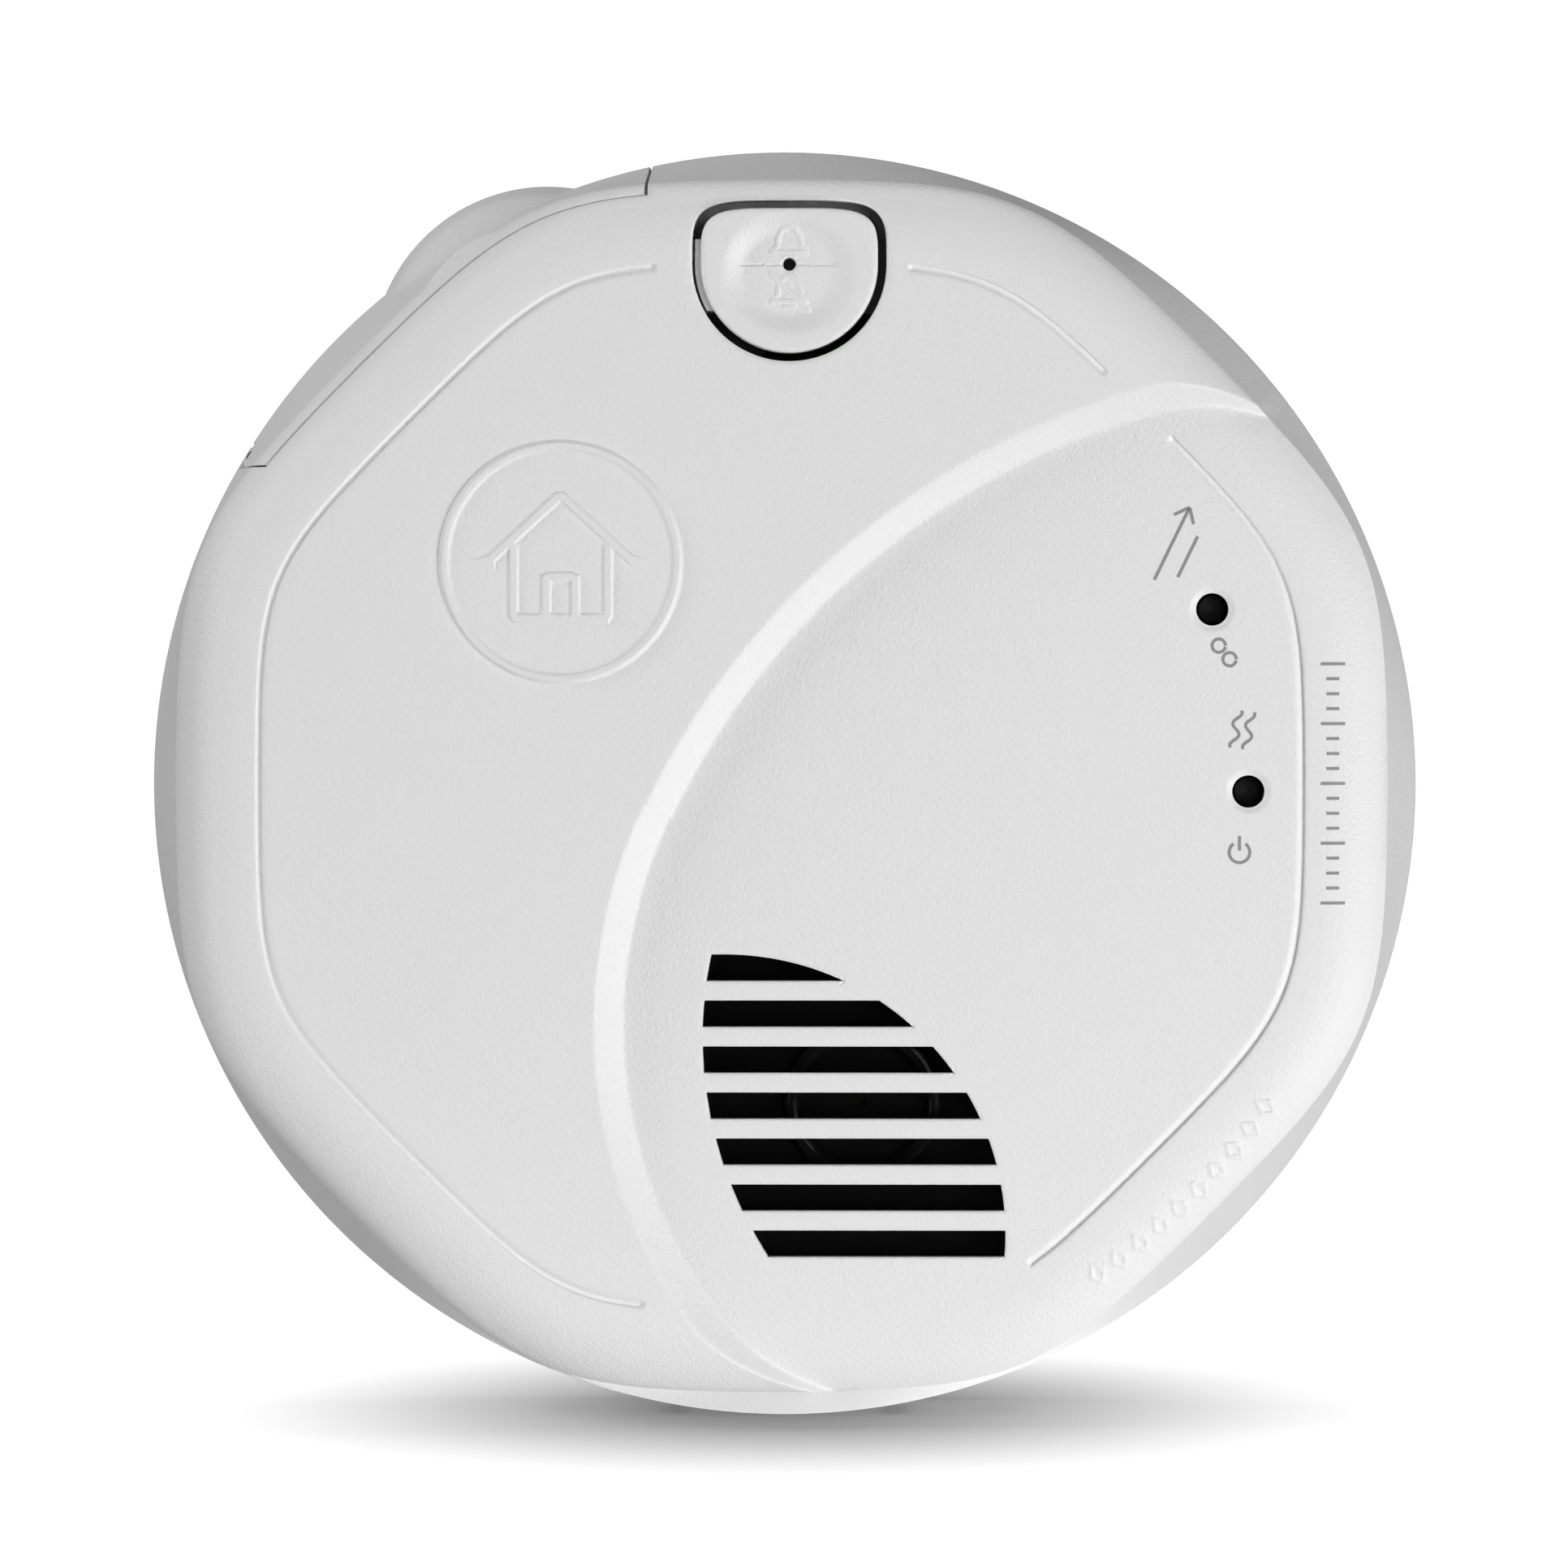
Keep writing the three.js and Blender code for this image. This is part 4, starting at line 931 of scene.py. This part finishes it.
def material(name, color, roughness, metallic=0.0, grain=(0, 0), blotch=0.03, **extra):
    """A moulded, plated or printed surface: fine grain in its height and a slow drift in its tone."""
    made = bpy.data.materials.new(name)
    made.use_nodes = True
    nodes, links = made.node_tree.nodes, made.node_tree.links
    shader = nodes["Principled BSDF"]
    shader.inputs["Metallic"].default_value = metallic
    for socket, value in extra.items():
        shader.inputs[socket.replace("_", " ")].default_value = value
    place_in = nodes.new("ShaderNodeTexCoord").outputs["Object"]
    drift = noise(nodes, links, place_in, *DRIFT)
    links.new(drifting_tone(nodes, links, drift, color, blotch), shader.inputs["Base Color"])
    links.new(drifting_gloss(nodes, links, drift, roughness), shader.inputs["Roughness"])
    scale, depth = grain
    if depth:
        links.new(grained_normal(nodes, links, place_in, scale, depth), shader.inputs["Normal"])
    return made


# Each grain is a noise scale and a depth in metres.
MATERIALS = {
    "white_plastic": dict(color=(0.80, 0.80, 0.80), roughness=0.5, grain=(2600, 0.00009), blotch=0.006),
    "back_plastic": dict(color=(0.74, 0.74, 0.72), roughness=0.55, grain=(2200, 0.00003), blotch=0.01),
    "black_plastic": dict(color=(0.012, 0.012, 0.012), roughness=0.45, grain=(1800, 0.00002)),
    "horn": dict(color=(0.003, 0.003, 0.003), roughness=0.13, grain=(160, 0.0002), Specular_IOR_Level=0.08),
    "ink": dict(color=(0.27, 0.27, 0.275), roughness=0.6, grain=(1800, 0.00001)),
    "dark_plastic": dict(color=(0.045, 0.046, 0.05), roughness=0.5, grain=(1800, 0.00002)),
    "circuit_board": dict(color=(0.012, 0.09, 0.035), roughness=0.35, grain=(900, 0.00002), blotch=0.15),
    "steel": dict(color=(0.6, 0.61, 0.62), roughness=0.32, metallic=1.0, grain=(1400, 0.00001)),
    "sensor_can": dict(color=(0.66, 0.67, 0.69), roughness=0.3, metallic=1.0, grain=(1400, 0.00001)),
    "brass": dict(color=(0.72, 0.5, 0.2), roughness=0.32, metallic=1.0, grain=(1400, 0.00001)),
    "screen_mesh": dict(color=(0.42, 0.43, 0.45), roughness=0.4, metallic=0.8, grain=(2600, 0.0002)),
    "clear_plastic": dict(color=(0.01, 0.01, 0.011), roughness=0.15, grain=FINE, Specular_IOR_Level=0.1),
    "green_lamp": dict(color=(0.08, 0.35, 0.12), roughness=0.15, grain=FINE),
    "red_lamp": dict(color=(0.4, 0.03, 0.02), roughness=0.15, grain=FINE),
    "capacitor_case": dict(color=(0.5, 0.36, 0.12), roughness=0.4, grain=(1200, 0.00002)),
    "capacitor_sleeve": dict(color=(0.02, 0.05, 0.16), roughness=0.3, grain=FINE),
    "varistor_coat": dict(color=(0.28, 0.11, 0.02), roughness=0.35, grain=(700, 0.00005)),
    "battery_jacket": dict(color=(0.05, 0.055, 0.06), roughness=0.35, metallic=0.4, grain=(1200, 0.00001)),
}


# ---------------------------------------------------------------- stage
FLOOR_Z = -0.0712
SHEET = {"half_width": 3.0, "front": -3.0, "bend_start": 1.2, "bend": 0.5, "top": 2.4}
# The soft shade on the floor is painted: the floor's glow that the camera sees is dimmer round the alarm's
# foot.
PAINTED_SHADE = {"forward": 0.013, "stretch": 1.4, "reach": 0.078, "foot": 0.07}  # soft shade on the floor
# The floor also glows near the foot and lights the alarm: painted bounce light from a sheet that is no
# lamp.
PAINTED_BOUNCE_GLOW = {"reach": 0.22, "foot": 0.21}  # light that the floor near the foot casts on the alarm
SURROUND = {"seen": 1.0, "cast": 0.02}


def sweep(name, profile, surface_material):
    """A sheet of the studio, from its (y, z) profile in metres."""
    mesh = bpy.data.meshes.new(name)
    edges = (-SHEET["half_width"], SHEET["half_width"])
    vertices = [(x, y, z) for y, z in profile for x in edges]
    faces = [(2 * i, 2 * i + 1, 2 * i + 3, 2 * i + 2) for i in range(len(profile) - 1)]
    mesh.from_pydata(vertices, [], faces)
    mesh.shade_smooth()
    sheet = bpy.data.objects.new(name, mesh)
    bpy.context.scene.collection.objects.link(sheet)
    sheet.data.materials.append(surface_material)
    sheet.visible_shadow = False


def seen_only(nodes, links, seen, cast, socket):
    """Feeds one value to the camera's own view and another to the light that the surface casts."""
    path = nodes.new("ShaderNodeLightPath")
    choice = nodes.new("ShaderNodeMix")
    links.new(path.outputs["Is Camera Ray"], choice.inputs["Factor"])
    for source, target in ((cast, "A"), (seen, "B")):
        if isinstance(source, float):
            choice.inputs[target].default_value = source
        else:
            links.new(source, choice.inputs[target])
    links.new(choice.outputs["Result"], socket)


def glow(nodes, links, away, reach, at_foot, beyond):
    """A glow that changes smoothly from the alarm's foot outwards."""
    spread = nodes.new("ShaderNodeMapRange")
    spread.interpolation_type = "SMOOTHSTEP"
    for socket, value in (("From Min", 0.0), ("From Max", reach), ("To Min", at_foot), ("To Max", beyond)):
        spread.inputs[socket].default_value = value
    links.new(away, spread.inputs["Value"])
    return spread.outputs["Result"]


def stage():
    """A pale sheet that runs under the alarm and curves up behind it, with a painted soft shade round its
    foot: its glow seen by the camera dims there, and near the foot it glows on the alarm as painted bounce
    light.
    """
    bend, start = SHEET["bend"], SHEET["bend_start"]
    turns = [math.radians(turn) for turn in range(0, 91, 15)]
    curve_up = [(start + bend * math.sin(t), FLOOR_Z + bend * (1 - math.cos(t))) for t in turns]
    glowing = dict(Emission_Color=(1, 1, 1, 1), Specular_IOR_Level=0)
    painted_shade_paper = material("painted_shade_paper", (0.25, 0.25, 0.25), 0.9, blotch=0.0, **glowing)
    nodes, links = painted_shade_paper.node_tree.nodes, painted_shade_paper.node_tree.links
    place_in = nodes.new("ShaderNodeTexCoord").outputs["Object"]
    from_foot = nodes.new("ShaderNodeMapping")
    from_foot.inputs["Scale"].default_value = (1, 1 / PAINTED_SHADE["stretch"], 0)
    from_foot.inputs["Location"].default_value = (0, PAINTED_SHADE["forward"] / PAINTED_SHADE["stretch"], 0)
    links.new(place_in, from_foot.inputs["Vector"])
    away = nodes.new("ShaderNodeVectorMath")
    away.operation = "LENGTH"
    links.new(from_foot.outputs["Vector"], away.inputs[0])
    # Painted soft shade: the glow seen by the camera is dimmer round the alarm's foot.
    seen = glow(nodes, links, away.outputs["Value"], PAINTED_SHADE["reach"], PAINTED_SHADE["foot"], SURROUND["seen"])
    # Painted bounce light: the floor glows on the alarm near its foot though it is no lamp.
    cast = glow(nodes, links, away.outputs["Value"], PAINTED_BOUNCE_GLOW["reach"], PAINTED_BOUNCE_GLOW["foot"], 0.0)
    seen_only(nodes, links, seen, cast, nodes["Principled BSDF"].inputs["Emission Strength"])
    sweep("sweep", [(SHEET["front"], FLOOR_Z), *curve_up, (start + bend, SHEET["top"])], painted_shade_paper)


LAMP_SIZE = 0.48
LAMP_AIM = (0, -0.04, 0)

# Lamps by place (metres) and power (watts), all aimed at the middle of the alarm.
LIGHTING = {
    "front": ((0.38, -1.07, 0.0), 2.0),
    "low_right": ((0.78, -0.75, -0.3), 10.3),
    "low_left": ((-0.35, -1.0, -0.25), 1.8),
    "left": ((-0.92, -0.32, 0.53), 5.3),
    "top": ((0.0, 0.12, 1.05), 2.9),
    "rear": ((0.0, 1.08, -0.3), 4.2),
}


def soft_light(name, position, power):
    """A round lamp that shines on the alarm and is not itself in the picture."""
    data = bpy.data.lights.new(name, "AREA")
    data.shape = "DISK"
    data.size = LAMP_SIZE
    data.energy = power
    lamp = bpy.data.objects.new(name, data)
    lamp.location = position
    lamp.rotation_mode = "QUATERNION"
    lamp.rotation_quaternion = (Vector(LAMP_AIM) - Vector(position)).to_track_quat("-Z", "Y")
    lamp.visible_camera = False
    bpy.context.scene.collection.objects.link(lamp)


CAMERA = {"azimuth": 1.0, "elevation": 1.0, "distance": 1.0, "lens": 204, "aim": (0, -0.025, 0)}


def camera():
    """A camera a metre away, almost square to the front."""
    azimuth, elevation = math.radians(CAMERA["azimuth"]), math.radians(CAMERA["elevation"])
    data = bpy.data.cameras.new("camera")
    data.lens = CAMERA["lens"]
    made = bpy.data.objects.new("camera", data)
    bpy.context.scene.collection.objects.link(made)
    bpy.context.scene.camera = made
    level = math.cos(elevation)
    back = Vector((math.sin(azimuth) * level, -math.cos(azimuth) * level, math.sin(elevation)))
    made.location = Vector(CAMERA["aim"]) + back * CAMERA["distance"]
    made.rotation_mode = "QUATERNION"
    made.rotation_quaternion = (-back).to_track_quat("-Z", "Y")
    data.clip_start, data.clip_end = 0.05, 20


def world():
    """A white surround for the camera that casts only a little light."""
    made = bpy.data.worlds.new("studio")
    bpy.context.scene.world = made
    made.use_nodes = True
    nodes, links = made.node_tree.nodes, made.node_tree.links
    background = nodes["Background"]
    background.inputs["Color"].default_value = (1, 1, 1, 1)
    seen_only(nodes, links, SURROUND["seen"], SURROUND["cast"], background.inputs["Strength"])


# ---------------------------------------------------------------- scene
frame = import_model()

materials = {name: material(name, **look) for name, look in MATERIALS.items()}

slots = {entry["node"]: entry["material_slot"] for entry in frame["record"]["subparts"]}
for name, node in frame["nodes"].items():
    node.data.materials.clear()
    node.data.materials.append(materials[slots[name]])

dress(front_cover(), "alarm", materials["white_plastic"], ["front_cover"])
dress(battery_drawer(), "battery_drawer", materials["white_plastic"], ["battery_drawer"])
dress(test_button(), "test_button", materials["white_plastic"], ["test_button"])
dress(horn(), "alarm", materials["horn"], ["horn_body"])
dress(printed_marks(), "alarm", materials["ink"])

stage()
for name, (position, power) in LIGHTING.items():
    soft_light(name, position, power)
camera()
world()
bpy.context.scene.view_settings.view_transform = "Standard"
